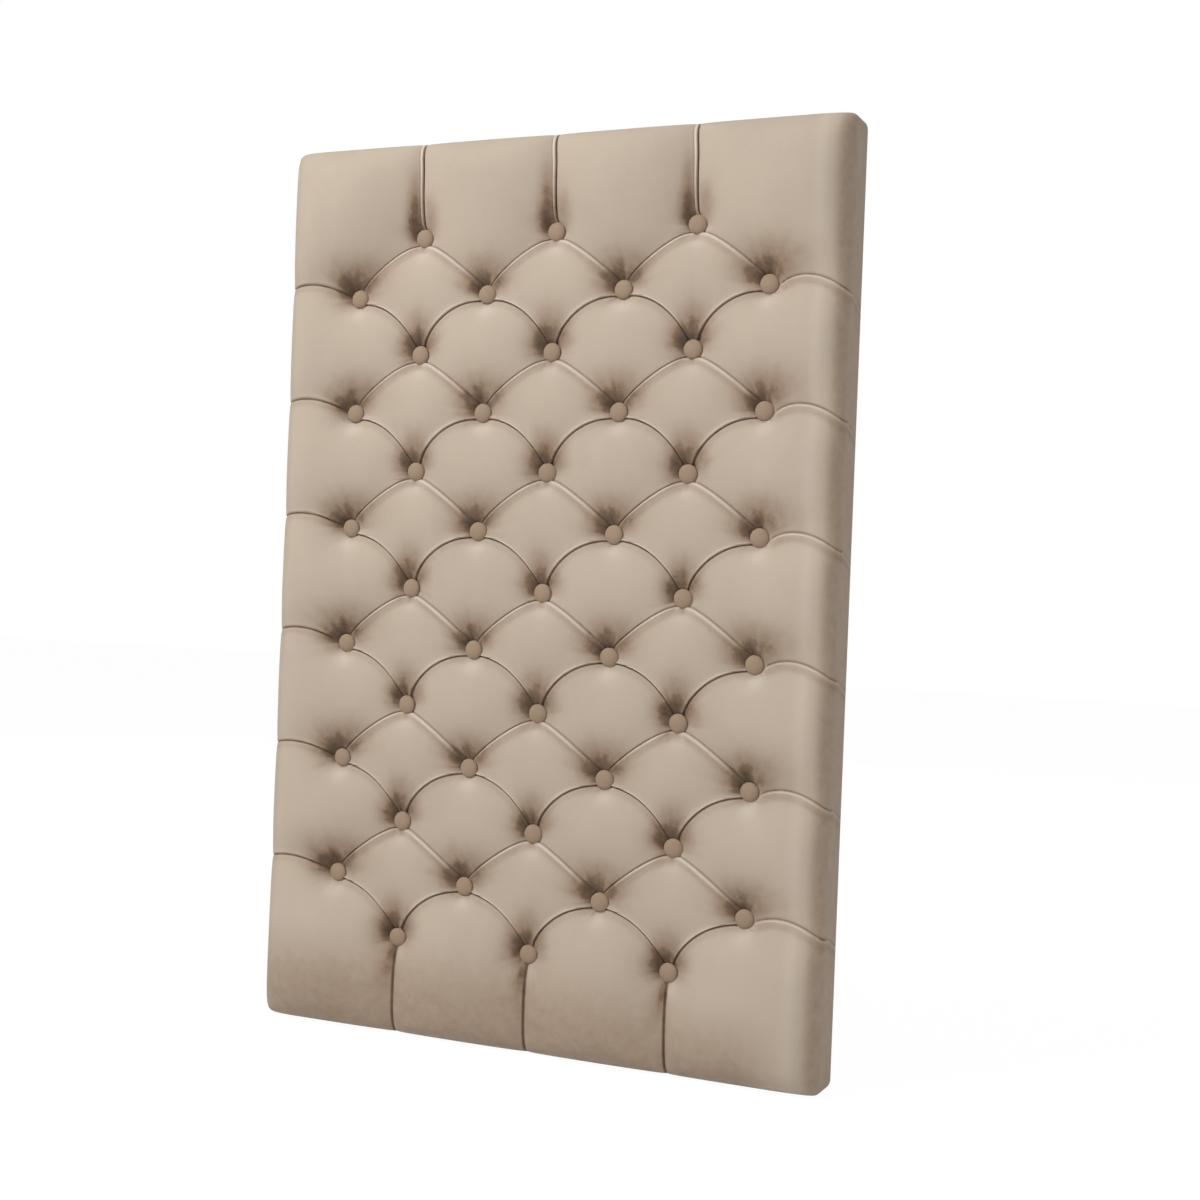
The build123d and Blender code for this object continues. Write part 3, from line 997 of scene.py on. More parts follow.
class PaintedNapShading:
    """Painted shade and painted highlight at each corner of the cover: shade painted in the hollows and
    creases, highlight painted over the folds.
    """

    # A seat's painted shades. Each has its place across and above the button, its half sizes and its depth.
    seat_shades = {
        "short": (
            (-0.0092, 0.0075, 0.0075, 0.0125, 0.93),
            (-0.0125, 0.0085, 0.0125, 0.0165, 0.55),
            (0.0, 0.0115, 0.0055, 0.0105, 0.65),
            (0.0145, 0.0115, 0.0115, 0.0135, 0.42),
        ),
        "long": (
            (-0.0085, 0.0065, 0.0085, 0.0095, 0.93),
            (-0.0145, 0.0095, 0.0135, 0.0135, 0.55),
            (-0.001, 0.0135, 0.0058, 0.011, 0.72),
            (0.0145, 0.0105, 0.0115, 0.0115, 0.38),
        ),
        "top": (
            (-0.0085, 0.0065, 0.0078, 0.0115, 0.9),
            (-0.0078, 0.0165, 0.0075, 0.017, 0.82),
            (-0.0068, 0.036, 0.0068, 0.0285, 0.6),
        ),
        "below": (
            (-0.0032, -0.0185, 0.0046, 0.0165, 0.62),
            (-0.0065, -0.027, 0.0085, 0.025, 0.3),
        ),
    }
    # The same five numbers for the painted shade on the pillow above each kind of seat.
    shade_above = {
        "short": (0.0, 0.022, 0.0155, 0.023, 0.58),
        "long": (0.001, 0.0215, 0.029, 0.0195, 0.52),
        "end": (0.004, 0.022, 0.035, 0.0195, 0.52),
        "top": (0.0105, 0.0215, 0.0105, 0.0205, 0.44),
    }
    # The waves in the edge of a seat's painted shades: how many of them go round it, and how high they are.
    flames = ((3, 0.08), (5, 0.09), (8, 0.09), (13, 0.09), (19, 0.07), (29, 0.05))
    # A pleat's painted crease shade, its soft painted shade and the painted highlight over its fold. Each has
    # its depth, its place above the pleat's line and its width.
    pleat_shades = {
        "lip": ((0.72, -0.0002, 0.0007), (0.16, -0.004, 0.0035), (1.0, 0.0012, 0.0007)),
        "ribbon": ((0.6, 0.0002, 0.0006), (0.24, -0.0065, 0.0034), (1.0, -0.0016, 0.001)),
        "band": ((0.35, 0.0002, 0.0006), (0.2, -0.0066, 0.003), (1.0, -0.0018, 0.0011)),
    }
    pleat_reach = 0.012
    # A straight pleat's stronger and weaker painted crease shade. The painted highlight on its flap has its
    # middle and its width as shares of the flap, which widens over its run.
    straight_crease_shades = (0.8, 0.35)
    straight_reach = 0.006
    straight_width = 0.0008
    flap_run = 0.088
    flap_light = (0.55, 0.36)
    # The painted highlight under each button: its strength, its place and its half sizes.
    seat_light = (0.45, 0.001, -0.0155, 0.0105, 0.009)
    # The painted shade over the lowest rows.
    low_shade = 0.4
    # The painted shades along the left and right edges, and the painted highlight inside the right one: its
    # strength, how far inside it lies and its width.
    side_shades = (0.14, 0.36)
    brow_light = (0.26, 0.026, 0.0065)

    def __init__(self, places, front):
        self.x, self.y, self.z = places.T
        self.pleats = front.pleats
        self.wall_depth = front.s.wall_depth
        # How much painted shade each corner gets, and how much painted highlight (the fold measure).
        self.painted_shade = np.zeros(len(places))
        self.fold = np.zeros(len(places))
        self.shade_seats()
        self.shade_pleats()
        self.shade_straight_pleats()
        self.light_under_buttons()
        self.shade_low_rows()
        self.shade_sides()

    def store(self, mesh):
        """Keeps the painted shade and the painted highlight on the mesh, with none on its back."""
        outside = -self.y > 0.0005
        for name, values in (("painted_shade", self.painted_shade), ("fold", self.fold)):
            attribute = mesh.attributes.new(name, "FLOAT", "POINT")
            attribute.data.foreach_set("value", (np.clip(values, 0.0, 1.0) * outside).astype(np.float32))

    def paint_shade(self, shade, near=slice(None)):
        """Paints shade on these corners, or on all, over the painted shade that they have."""
        self.painted_shade[near] = overlaid(self.painted_shade[near], shade)

    def paint_highlight(self, light, near=slice(None)):
        """Paints highlight on these corners, or on all, where it isn't lighter yet."""
        self.fold[near] = np.maximum(self.fold[near], light)

    def shade_seats(self):
        """Paints flame-edged shade around each seat."""
        pleats = self.pleats
        rng = np.random.default_rng(3)
        for tuft_x, tuft_z in pleats.tufts:
            near = np.nonzero((np.abs(self.x - tuft_x) < 0.08) & (np.abs(self.z - tuft_z - 0.02) < 0.075))
            dx = self.x[near] - tuft_x
            dz = self.z[near] - tuft_z
            turn = np.arctan2(dz, dx)
            flame = np.zeros_like(turn)
            for count, height in self.flames:
                flame += height * np.cos(count * turn + rng.uniform(0.0, 2 * math.pi))
            is_long = np.min(np.abs(pleats.long_levels - tuft_z)) < 0.001
            is_end = abs(abs(tuft_x) - pleats.end_tuft) < 0.001
            is_top = tuft_z > pleats.top_row - 0.001
            above = "end" if is_end else "long" if is_long else "top" if is_top else "short"
            shades = [*self.seat_shades["long" if above == "end" else above], self.shade_above[above]]
            if tuft_z < 0.001 - pleats.top_row:
                shades += self.seat_shades["below"]
            size = rng.uniform(0.9, 1.1)
            for centre_x, centre_z, across, along, deep in shades:
                away = np.hypot((dx - centre_x) / across, (dz - centre_z) / along)
                edge = 1.0 + flame * (0.25 if above == "top" or along > 0.015 else 0.7)
                self.paint_shade(deep * hump(away, edge * size), near)

    def shade_pleat(self, line, x, upper_on_left, kind):
        """Paints shade in a pleat's crease and a highlight over the fold beside it."""
        near, left, along = beside(line, x, self.z, self.pleat_reach)
        upward = left if upper_on_left else -left
        fade = ease(along / 0.006)
        crease, soft, light = (
            deep * hump(upward - middle, width) * fade for deep, middle, width in self.pleat_shades[kind]
        )
        self.paint_shade(overlaid(crease, soft), near)
        self.paint_highlight(light, near)

    def shade_pleats(self):
        """Paints shade and highlight on the curved pleats, and on the side pleats over the outline and down
        the side.
        """
        for line, upper_on_left, kind, _ in self.pleats.courses():
            self.shade_pleat(line, self.x, upper_on_left, kind)
        on_side = np.abs(self.x) > self.pleats.half_width - 0.001
        outward = np.where(on_side, self.wall_depth + self.y, 0.0)
        unrolled = self.x + np.sign(self.x) * np.clip(outward, 0.0, None)
        for line, upper_on_left, kind in self.pleats.side_courses():
            self.shade_pleat(line, unrolled, upper_on_left, kind)

    def shade_straight_pleats(self):
        """Paints shade in both creases of each straight pleat, and a highlight on the flap at the top."""
        strong, weak = self.straight_crease_shades
        middle, width = self.flap_light
        for line, is_top, is_right in self.pleats.straight_courses():
            near, left, along = beside(line, self.x, self.z, self.straight_reach)
            start = ease(along / 0.004)
            deep = strong if is_top == is_right else weak
            self.paint_shade(deep * hump(left, self.straight_width) * start, near)
            if is_top and is_right:
                flap = blend(*self.pleats.flap_widths, ease(along / self.flap_run))
                self.paint_highlight(hump(left - middle * flap, width * flap) * start, near)

    def light_under_buttons(self):
        """Paints a highlight on the top of the pillow under each button."""
        deep, centre_x, centre_z, across, along = self.seat_light
        for tuft_x, tuft_z in self.pleats.tufts:
            away_x = (self.x - tuft_x - centre_x) / across
            away_z = (self.z - tuft_z - centre_z) / along
            self.paint_highlight(deep * hump(np.hypot(away_x, away_z), 1.0))

    def shade_low_rows(self):
        """Paints shade over the lowest rows, less so at the right."""
        starts = self.pleats.top_row - 0.02 + 0.025 * ease((self.x - 0.05) / 0.15)
        low = ease((-self.z - starts) / 0.085) * (1.0 - 0.9 * ease((self.x - 0.225) / 0.05))
        self.paint_shade(self.low_shade * low)

    def shade_sides(self):
        """Paints shade along both side edges, and a highlight on a strip inside the right one."""
        left, right = self.side_shades
        edge = ease((np.abs(self.x) - self.pleats.half_width + 0.017) / 0.011)
        self.paint_shade(edge * np.where(self.x > 0, right, left))
        light, inset, width = self.brow_light
        self.paint_highlight(light * hump(self.x - self.pleats.half_width + inset, width))


class PANEL_OT_velvet_cover(bpy.types.Operator):
    """Makes the velvet on its wadding: tufted front, rolled edges, sides, hem and the lining inside"""

    bl_idname = "tufted_panel.velvet_cover"
    bl_label = "Velvet Cover"

    # The rings of corners down the sides and over the hem, and the bend between them.
    side_depths = (0.0265, 0.022, 0.0175, 0.013, 0.0085, 0.005)
    hem_bend = 0.003
    hem_rings = (0.006, 0.011, 0.018, 0.026, 0.035)
    # The creases down the sides and across the hem's corners.
    crease_depth = 0.0005
    side_crease_width = 0.0015
    hem_crease_width = 0.0016

    def execute(self, context):
        # The sizes may have changed since the last skin was relaxed.
        TuftedFront.shared_padding = None
        front = TuftedFront(fine=True)
        cover = padded_piece(front, 0.0)
        select_outline()
        ring = OutlineRing(front, 0.0)
        back = -COVER_HIGH.y
        for depth in self.side_depths:
            ring.to(depth, 0.0)
        for turn in (30.0, 60.0, 90.0):
            bend = math.radians(turn)
            ring.to(back + self.hem_bend * (1 - math.sin(bend)), self.hem_bend * (1 - math.cos(bend)))
        for drawn in (*self.hem_rings, sizes().hem_width):
            ring.to(back, drawn)
        bpy.ops.object.mode_set(mode="OBJECT")
        lining = self.lining(back)
        pick(cover, lining)
        bpy.ops.object.join()
        self.close_hem(cover)
        self.crease_sides(cover, front.pleats)
        # Paints shade and highlight into the cover's measures for its velvet.
        PaintedNapShading(places_of(cover.data), front).store(cover.data)
        smooth(cover, 60.0)
        c = colours()
        velvet = velvet_finish("velvet", tuple(c.velvet), (tuple(c.shade), tuple(c.painted_shade), tuple(c.painted_highlight)))
        own(cover, "velvet_on_wadding", velvet, ["velvet_cover"])
        return {"FINISHED"}

    def lining(self, back):
        """The inside of the cover, on a wider net, as far as the hem's inner edge."""
        s = sizes()
        front = TuftedFront(fine=False)
        lining = padded_piece(front, s.padding_thickness)
        select_outline()
        ring = OutlineRing(front, s.padding_thickness)
        inner = back + s.hem_thickness
        ring.to(inner, s.padding_thickness)
        ring.to(inner, s.hem_width)
        bpy.ops.object.mode_set(mode="OBJECT")
        return lining

    def close_hem(self, cover):
        """Joins the cover to its lining along the hem's inner edge."""
        pick(cover)
        bpy.ops.object.mode_set(mode="EDIT")
        bpy.ops.mesh.select_mode(type="EDGE")
        bpy.ops.mesh.select_all(action="DESELECT")
        bpy.ops.mesh.select_non_manifold(
            extend=False, use_wire=False, use_boundary=True, use_multi_face=False, use_non_contiguous=False,
            use_verts=False,
        )
        bpy.ops.mesh.bridge_edge_loops()
        face_outwards()

    def crease_sides(self, cover, pleats):
        """Carries each side pleat on as a crease down the side, and folds the hem at the corners."""
        places = places_of(cover.data)
        x, y, z = places.T
        wall_depth = pleats.s.wall_depth
        side = (-y < wall_depth - 0.0005) & (np.abs(x) > pleats.half_width - 0.0005)
        outward = pleats.half_width - pleats.end_tuft + np.clip(wall_depth + y, 0.0, None)
        levels = pleats.long_levels[None, :] + pleats.side_arc(outward, np.sign(x))[:, None]
        away = np.min(np.abs(z[:, None] - levels), axis=1)
        groove = hump(away, self.side_crease_width) * np.clip(-y / wall_depth, 0.0, 1.0) * side
        places[:, 0] -= np.sign(x) * self.crease_depth * groove
        hem = -y < 0.001
        from_side = pleats.half_width - np.abs(x)
        from_end = pleats.half_height - np.abs(z)
        places[:, 1] -= self.crease_depth * (
            hump(from_side - from_end, self.hem_crease_width) * hem * (from_side > 0.004)
        )
        set_places(cover.data, places)


class PANEL_OT_foam(bpy.types.Operator):
    """Makes the foam under the cover, in the same form"""

    bl_idname = "tufted_panel.foam"
    bl_label = "Foam"

    gap = 0.0003

    def execute(self, context):
        skin = sizes().padding_thickness + self.gap
        front = TuftedFront(fine=False)
        foam = padded_piece(front, skin)
        select_outline()
        OutlineRing(front, skin).to(-BOARD_LOW.y, skin)
        bpy.ops.mesh.edge_face_add()
        face_outwards()
        smooth(foam, 50.0)
        own(foam, "foam_filling", foam_finish("foam"), ["foam_pad"])
        return {"FINISHED"}


class PANEL_OT_covered_buttons(bpy.types.Operator):
    """Makes the covered buttons, one piece to a row"""

    bl_idname = "tufted_panel.covered_buttons"
    bl_label = "Covered Buttons"

    gap = 0.0003
    # How much a button leans from its seat, in degrees.
    leaning = 2.5
    # The height of a button's rim, of its dome over the rim, and how round each is.
    rim_height = 0.0015
    dome_height = 0.0036
    dome_roundness = 1.25
    under_roundness = 0.6
    gather_count = 22

    def execute(self, context):
        pattern = self.one_button()
        finish = velvet_finish("button_velvet", tuple(colours().button))
        rng = np.random.default_rng(19)
        pleats = Pleats()
        for row, node in enumerate(BUTTON_ROWS):
            height = pleats.row_height(row)
            placings = [self.placing(rng, x, height) for x in pleats.row_places(row)]
            buttons = join_copies(pattern, placings)
            own(buttons, f"covered_buttons_{row + 1:02d}", finish, [node])
        bpy.data.objects.remove(pattern)
        return {"FINISHED"}

    def placing(self, rng, x, height):
        """A button's place on its seat, spun and leaning a little."""
        spin = Matrix.Rotation(rng.uniform(0.0, 2 * math.pi), 4, "Y")
        lean = Matrix.Rotation(math.radians(rng.normal(0.0, self.leaning)), 4, "X")
        tip = Matrix.Rotation(math.radians(rng.normal(0.0, self.leaning)), 4, "Z")
        seat = Matrix.Translation((x, -sizes().seat_depth - self.gap, height))
        return seat @ tip @ lean @ spin

    def one_button(self):
        """A low dome with a rounded rim, gathered in fine folds under it."""
        clear_selection()
        bpy.ops.mesh.primitive_uv_sphere_add(segments=56, ring_count=26, radius=1.0)
        button = bpy.context.object
        x, y, z = places_of(button.data).T
        radius = sizes().button_diameter / 2
        flat = np.hypot(x, y)
        turn = np.arctan2(y, x)
        upper = z > 0
        dome = self.rim_height + self.dome_height * np.abs(z) ** self.dome_roundness
        under = self.rim_height - self.rim_height * np.abs(z) ** self.under_roundness
        height = np.where(upper, dome, under)
        across = np.where(upper, flat**0.9, blend(0.82, 1.0, flat**2) * flat**0.5)
        gathers = 0.5 + 0.5 * np.cos(turn * self.gather_count + 1.3 * np.sin(turn * 3))
        across = across * (1.0 - 0.02 * gathers * hump(z + 0.15, 0.32))
        places = np.stack([radius * across * np.cos(turn), -height, radius * across * np.sin(turn)], axis=-1)
        set_places(button.data, places)
        bpy.ops.object.mode_set(mode="EDIT")
        bpy.ops.mesh.select_all(action="SELECT")
        bpy.ops.mesh.remove_doubles(threshold=0.00002)
        face_outwards()
        bpy.ops.object.shade_smooth()
        return button


class PANEL_OT_dust_cover(bpy.types.Operator):
    """Makes the thin cloth over the back, with its folded edge and staples"""

    bl_idname = "tufted_panel.dust_cover"
    bl_label = "Dust Cover"

    thickness = 0.00035
    folded_edge = 0.012
    corner_spacing = 0.006
    # The windows over the hanger plates.
    plate_width = 0.026
    window_gap = 0.001
    # Slack waves: how many, their lengths and height, and how far they stay from the middle of a window. The
    # end of the folded edge shows as a low step.
    wave_count = 10
    wave_lengths = (0.03, 0.14)
    wave_height = 0.0006
    window_reach = (0.014, 0.034)
    edge_step = 0.00006
    # Staples: their wire and crown, how many on an edge and their reach along it, and their turn in degrees.
    wire_radius = 0.00035
    crown = 0.01
    upright_staples = (15, 0.96)
    level_staples = (10, 0.94)
    staple_turn = 6.0

    def execute(self, context):
        self.window_x = (PLATES_HIGH.x - self.plate_width - self.window_gap, PLATES_HIGH.x + self.window_gap)
        self.window_z = (PLATES_LOW.z - self.window_gap, PLATES_HIGH.z + self.window_gap)
        half_x = CLOTH_HIGH.x
        half_z = CLOTH_HIGH.z
        across = self.stops([-half_x, *(-x for x in reversed(self.window_x)), *self.window_x, half_x])
        along = self.stops([-half_z, *self.window_z, half_z])
        x, z = np.meshgrid(across, along)
        cloth = net(*x.shape)
        y = -self.thickness / 2 - self.sag(x, z, half_x, half_z)
        set_places(cloth.data, np.stack([x, y, z], axis=-1))
        self.cut_windows(cloth)
        bpy.ops.object.modifier_add(type="SOLIDIFY")
        cloth.modifiers[-1].thickness = self.thickness
        cloth.modifiers[-1].offset = 0.0
        bpy.ops.object.modifier_apply(modifier=cloth.modifiers[-1].name)
        smooth(cloth, 50.0)
        finish = cloth_finish("dust_cover_cloth", tuple(colours().dust_cover))
        own(cloth, "back_cloth", finish, ["dust_cover"])
        self.staples(half_x, half_z)
        return {"FINISHED"}

    def stops(self, marks):
        """Places from mark to mark, closely spaced, with the folded edge's own at both ends."""
        marks = sorted([*marks, marks[0] + self.folded_edge, marks[-1] - self.folded_edge])
        spans = []
        for start, end in zip(marks, marks[1:]):
            count = max(2, math.ceil((end - start) / self.corner_spacing) + 1)
            spans.append(np.linspace(start, end, count)[:-1])
        return np.append(np.concatenate(spans), marks[-1])

    def sag(self, x, z, half_x, half_z):
        """How far the cloth lies in front of the wall's plane: flat at its folded edge, slack inside it."""
        rng = np.random.default_rng(23)
        wave = np.zeros_like(x)
        for _ in range(self.wave_count):
            turn = rng.uniform(-0.5, 0.5) + (math.pi / 2 if rng.random() < 0.3 else 0.0)
            pitch = rng.uniform(*self.wave_lengths)
            phase = 2 * math.pi * (x * math.cos(turn) + z * math.sin(turn)) / pitch + rng.uniform(0.0, 6.3)
            wave += np.cos(phase) * pitch
        wave = 0.5 + 0.5 * wave / np.max(np.abs(wave))
        past_edge = np.minimum(half_x - np.abs(x), half_z - np.abs(z)) - self.folded_edge
        reach_x, reach_z = self.window_reach
        past_x = np.abs(np.abs(x) - sum(self.window_x) / 2) - reach_x
        past_z = np.abs(z - sum(self.window_z) / 2) - reach_z
        slack = ease(past_edge / 0.03) * ease(np.maximum(past_x, past_z) / 0.02)
        return self.edge_step * ease((past_edge + 0.001) / 0.002) + self.wave_height * wave * slack

    def cut_windows(self, cloth):
        """Takes out the cloth over the hanger plates."""
        places = places_of(cloth.data)
        centres = np.array([places[list(face.vertices)].mean(axis=0) for face in cloth.data.polygons])
        in_x = (np.abs(centres[:, 0]) > self.window_x[0]) & (np.abs(centres[:, 0]) < self.window_x[1])
        in_z = (centres[:, 2] > self.window_z[0]) & (centres[:, 2] < self.window_z[1])
        pick(cloth)
        select_faces(cloth.data, in_x & in_z)
        bpy.ops.object.mode_set(mode="EDIT")
        bpy.ops.mesh.select_mode(type="FACE")
        bpy.ops.mesh.delete(type="FACE")
        face_outwards()

    def staples(self, half_x, half_z):
        """Wire staples along the folded edge."""
        pattern = self.one_staple()
        rng = np.random.default_rng(31)
        reach_x = half_x - self.folded_edge / 2
        reach_z = half_z - self.folded_edge / 2
        spots = []
        for side in (-1, 1):
            count, share = self.upright_staples
            spots += [(side * reach_x, place * reach_z, 90.0) for place in np.linspace(-share, share, count)]
            count, share = self.level_staples
            spots += [(place * reach_x, side * reach_z, 0.0) for place in np.linspace(-share, share, count)]
        placings = []
        for x, z, turn in spots:
            turned = Matrix.Rotation(math.radians(turn + rng.normal(0.0, self.staple_turn)), 4, "Y")
            placings.append(Matrix.Translation((x, 0.0001, z)) @ turned)
        staples = join_copies(pattern, placings)
        bpy.data.objects.remove(pattern)
        bpy.ops.object.shade_smooth()
        finish = metal_finish("staple_wire", tint(tuple(colours().zinc), 0.9), 0.25)
        return own(staples, "cloth_staples", finish)

    def one_staple(self):
        """The crown of a staple, a wire with broken edges."""
        clear_selection()
        bpy.ops.mesh.primitive_cylinder_add(
            vertices=8, radius=self.wire_radius, depth=self.crown, end_fill_type="NGON",
        )
        staple = bpy.context.object
        staple.data.transform(Matrix.Rotation(math.radians(90.0), 4, "Y"))
        bpy.ops.object.mode_set(mode="EDIT")
        bpy.ops.mesh.select_all(action="SELECT")
        bpy.ops.mesh.bevel(offset=0.0001, segments=1)
        bpy.ops.object.mode_set(mode="OBJECT")
        return staple


class PANEL_OT_plate_screws(bpy.types.Operator):
    """Makes the countersunk screws that hold the hanger plates"""

    bl_idname = "tufted_panel.plate_screws"
    bl_label = "Plate Screws"

    head = 0.0073
    shank = 0.0043
    sink = 0.0016
    # The recess: each arm's length, depth and width, and the place of its middle.
    recess = (0.0042, 0.0014, 0.0009)
    recess_middle = -0.0003
    # How far each screw is from its plate's outer edge, and from the plate's middle.
    from_edge = 0.013
    from_middle = 0.026

    def execute(self, context):
        pattern = self.one_screw()
        middle_z = (PLATES_LOW.z + PLATES_HIGH.z) / 2
        centre_x = PLATES_HIGH.x - self.from_edge
        rng = np.random.default_rng(41)
        placings = []
        for x in (-centre_x, centre_x):
            for z in (middle_z - self.from_middle, middle_z + self.from_middle):
                turned = Matrix.Rotation(rng.uniform(0.0, math.pi), 4, "Y")
                placings.append(Matrix.Translation((x, 0.0, z)) @ turned)
        screws = join_copies(pattern, placings)
        bpy.data.objects.remove(pattern)
        finish = metal_finish("screw_steel", tint(tuple(colours().zinc), 0.95), 0.22)
        own(screws, "plate_screws", finish)
        smooth(screws, 35.0)
        return {"FINISHED"}

    def one_screw(self):
        """A countersunk head with a cross recess, and the start of its shank."""
        clear_selection()
        bpy.ops.mesh.primitive_cone_add(
            vertices=40, radius1=self.shank / 2, radius2=self.head / 2, depth=self.sink,
            location=(0.0, -self.sink / 2 - 0.0001, 0.0), rotation=(math.radians(-90.0), 0.0, 0.0),
        )
        screw = bpy.context.object
        bpy.ops.object.transform_apply(location=True, rotation=True, scale=True)
        for turn in (0.0, 90.0):
            clear_selection()
            bpy.ops.mesh.primitive_cube_add(size=1.0, location=(0.0, self.recess_middle, 0.0))
            cutter = bpy.context.object
            cutter.scale = self.recess
            cutter.rotation_euler = (0.0, math.radians(turn), 0.0)
            bpy.ops.object.transform_apply(location=True, rotation=True, scale=True)
            pick(screw)
            bpy.ops.object.modifier_add(type="BOOLEAN")
            screw.modifiers[-1].operation = "DIFFERENCE"
            screw.modifiers[-1].object = cutter
            bpy.ops.object.modifier_apply(modifier=screw.modifiers[-1].name)
            bpy.data.objects.remove(cutter)
        return screw


class PANEL_OT_finishes(bpy.types.Operator):
    """Gives the board, twine and hanger plates their materials"""

    bl_idname = "tufted_panel.finishes"
    bl_label = "Finishes"

    def execute(self, context):
        finishes = {
            "back_board": board_finish("plywood"),
            "tufting_twine": twine_finish("waxed_twine"),
            "hanger_plates": metal_finish("zinc_plate", tuple(colours().zinc), 0.3),
        }
        for name, material in finishes.items():
            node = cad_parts[name]
            node.data.materials.clear()
            node.data.materials.append(material)
        return {"FINISHED"}


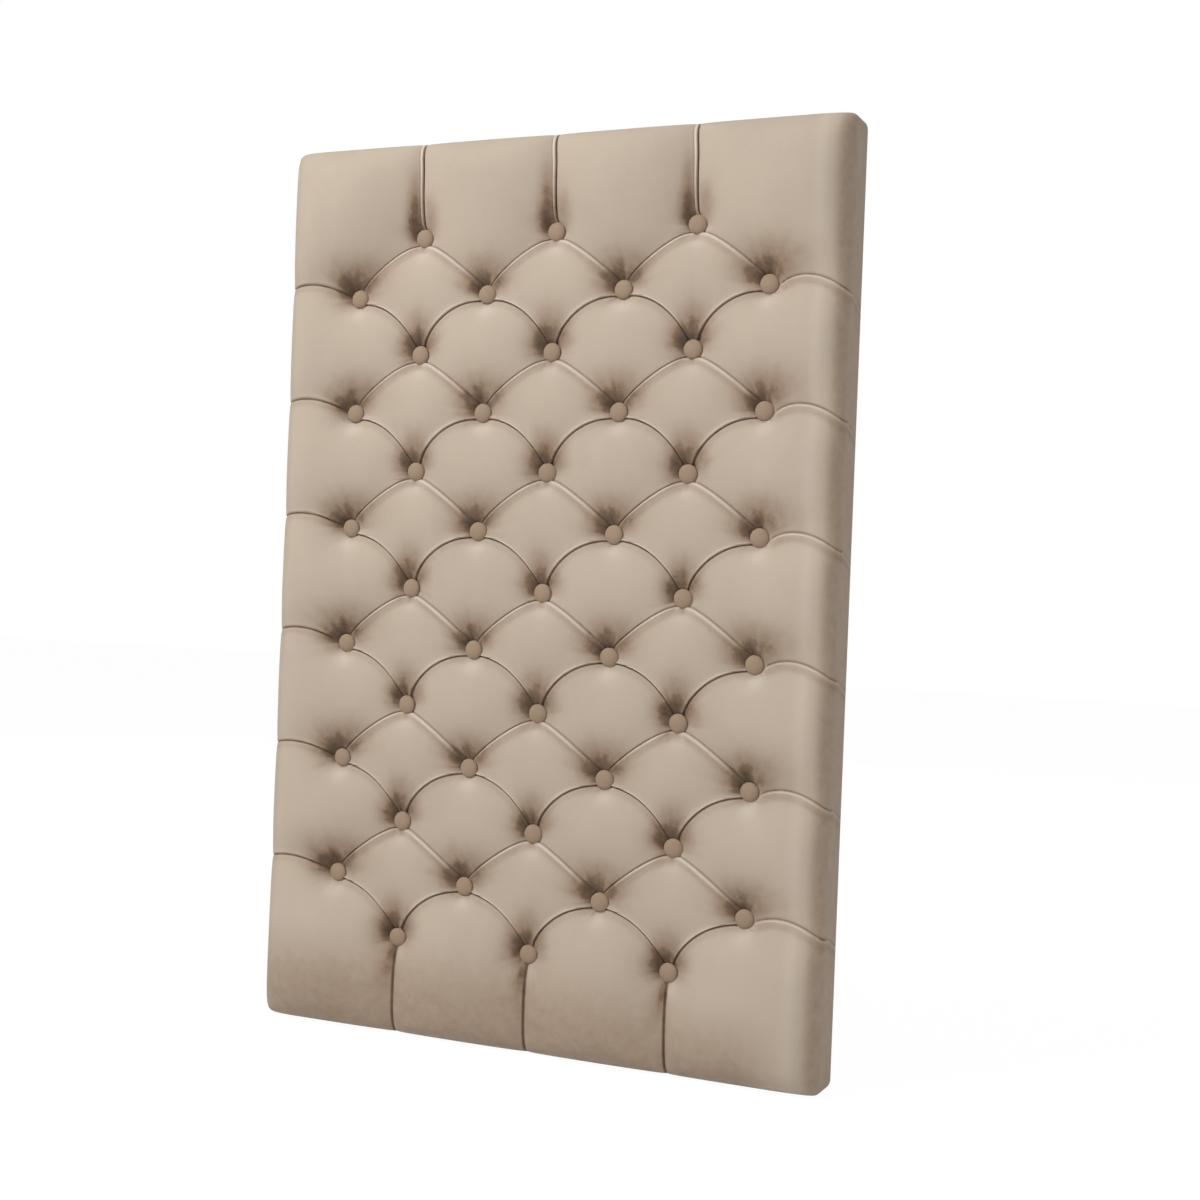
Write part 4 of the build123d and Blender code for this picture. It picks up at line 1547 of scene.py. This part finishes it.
class PANEL_OT_stage(bpy.types.Operator):
    """Sets the floor, the lamps, the world and the camera"""

    bl_idname = "tufted_panel.stage"
    bl_label = "Stage"

    # Each lamp's place, width in metres and power in watts.
    lamps = {
        "key_lamp": ((-1.35, -1.85, 2.15), 0.9, 66.0),
        "fill_lamp": ((2.2, -1.9, 0.5), 1.6, 15.0),
        "back_lamp": ((-1.2, 2.6, 1.0), 1.5, 26.0),
    }
    room_colour = (1.0, 0.985, 0.965, 1.0)
    room_light = 0.3
    floor_size = 16.0
    floor_colour = (0.86, 0.86, 0.86, 1.0)
    # The floor's own glow as the camera sees it, and how much of that shows.
    floor_glow = 1.06
    floor_glow_share = 0.9
    # The camera's lens and film width in millimetres, its place, and its yaw, pitch and roll in degrees.
    lens = 52.6
    film_width = 36.0
    camera_place = (0.76, -1.61, 0.0)
    camera_turns = (23.9, -0.15, 2.25)

    def execute(self, context):
        scene = bpy.context.scene
        scene.view_settings.view_transform = "Standard"
        self.floor()
        self.world(scene)
        for name, (place, size, power) in self.lamps.items():
            self.lamp(name, place, size, power)
        self.camera(scene)
        return {"FINISHED"}

    def floor(self):
        """A wide white floor just under the panel."""
        clear_selection()
        bpy.ops.mesh.primitive_plane_add(size=self.floor_size, location=(0.0, 0.0, 0.0))
        floor = bpy.context.object
        floor.name = "floor"
        floor.data.transform(Matrix.Translation((0.0, 0.0, COVER_LOW.z - 0.001)))
        finish = Finish("floor_white", Roughness=0.9)
        finish.shader.inputs["Base Color"].default_value = self.floor_colour
        tree = finish.tree
        glow = tree.nodes.new("ShaderNodeEmission")
        mixer = tree.nodes.new("ShaderNodeMixShader")
        glow.inputs[1].default_value = self.floor_glow
        share = self.seen_share(tree) * self.floor_glow_share
        tree.links.new(share.socket, mixer.inputs[0])
        tree.links.new(finish.shader.outputs[0], mixer.inputs[1])
        tree.links.new(glow.outputs[0], mixer.inputs[2])
        tree.links.new(mixer.outputs[0], tree.nodes["Material Output"].inputs[0])
        floor.data.materials.append(finish.material)

    def seen_share(self, tree):
        """1 for rays from the camera, in mirrors and through glass."""
        seen = tree.nodes.new("ShaderNodeLightPath")
        rays = [Value(tree, seen.outputs[f"Is {kind} Ray"]) for kind in ("Camera", "Glossy", "Transmission")]
        return (rays[0] + rays[1] + rays[2]).clamped()

    def world(self, scene):
        """A pale room that lights the panel, seen as plain white."""
        world = bpy.data.worlds.new("pale_room")
        scene.world = world
        world.use_nodes = True
        tree = world.node_tree
        tree.nodes.clear()
        room = tree.nodes.new("ShaderNodeBackground")
        room.inputs[0].default_value = self.room_colour
        room.inputs[1].default_value = self.room_light
        white = tree.nodes.new("ShaderNodeBackground")
        white.inputs[0].default_value = (1.0, 1.0, 1.0, 1.0)
        white.inputs[1].default_value = 1.0
        mixer = tree.nodes.new("ShaderNodeMixShader")
        output = tree.nodes.new("ShaderNodeOutputWorld")
        tree.links.new(self.seen_share(tree).socket, mixer.inputs[0])
        tree.links.new(room.outputs[0], mixer.inputs[1])
        tree.links.new(white.outputs[0], mixer.inputs[2])
        tree.links.new(mixer.outputs[0], output.inputs[0])

    def lamp(self, name, place, size, power):
        """A round lamp that points at the panel's middle."""
        data = bpy.data.lights.new(name, "AREA")
        data.shape = "DISK"
        data.size = size
        data.energy = power
        lamp = bpy.data.objects.new(name, data)
        lamp.location = place
        lamp.rotation_euler = (-Vector(place)).to_track_quat("-Z", "Y").to_euler()
        bpy.context.scene.collection.objects.link(lamp)

    def camera(self, scene):
        """Stands where the photograph was taken, right of the panel and level with its middle."""
        data = bpy.data.cameras.new("camera")
        data.sensor_width = self.film_width
        data.lens = self.lens
        data.clip_start = 0.05
        data.clip_end = 60.0
        camera = bpy.data.objects.new("camera", data)
        scene.collection.objects.link(camera)
        yaw, pitch, roll = (math.radians(angle) for angle in self.camera_turns)
        ahead = Vector((-math.sin(yaw) * math.cos(pitch), math.cos(yaw) * math.cos(pitch), math.sin(pitch)))
        level = ahead.cross(Vector((0.0, 0.0, 1.0))).normalized()
        right = level * math.cos(roll) + level.cross(ahead) * math.sin(roll)
        upward = right.cross(ahead)
        turned = Matrix((right, upward, -ahead)).transposed().to_4x4()
        camera.matrix_world = Matrix.Translation(self.camera_place) @ turned
        scene.camera = camera


class PANEL_PT_tufted_panel(bpy.types.Panel):
    """Lists the steps that build the panel, with its sizes and colours"""

    bl_idname = "PANEL_PT_tufted_panel"
    bl_label = "Tufted Panel"
    bl_space_type = "VIEW_3D"
    bl_region_type = "UI"
    bl_category = "Tufted Panel"

    def draw(self, context):
        for step in STEPS:
            self.layout.operator(step.bl_idname)
        for group in (context.scene.tufted_panel_sizes, context.scene.tufted_panel_colours):
            box = self.layout.box()
            for name in group.__annotations__:
                box.prop(group, name)


STEPS = (
    PANEL_OT_velvet_cover,
    PANEL_OT_foam,
    PANEL_OT_covered_buttons,
    PANEL_OT_dust_cover,
    PANEL_OT_plate_screws,
    PANEL_OT_finishes,
    PANEL_OT_stage,
)
CLASSES = (PanelSizes, PanelColours, *STEPS, PANEL_PT_tufted_panel)


def register():
    for each in CLASSES:
        bpy.utils.register_class(each)
    bpy.types.Scene.tufted_panel_sizes = PointerProperty(type=PanelSizes)
    bpy.types.Scene.tufted_panel_colours = PointerProperty(type=PanelColours)


def unregister():
    del bpy.types.Scene.tufted_panel_colours
    del bpy.types.Scene.tufted_panel_sizes
    for each in reversed(CLASSES):
        bpy.utils.unregister_class(each)


def main():
    register()
    bpy.ops.tufted_panel.velvet_cover()
    bpy.ops.tufted_panel.foam()
    bpy.ops.tufted_panel.covered_buttons()
    bpy.ops.tufted_panel.dust_cover()
    bpy.ops.tufted_panel.plate_screws()
    bpy.ops.tufted_panel.finishes()
    bpy.ops.tufted_panel.stage()


if __name__ == "__main__":
    main()
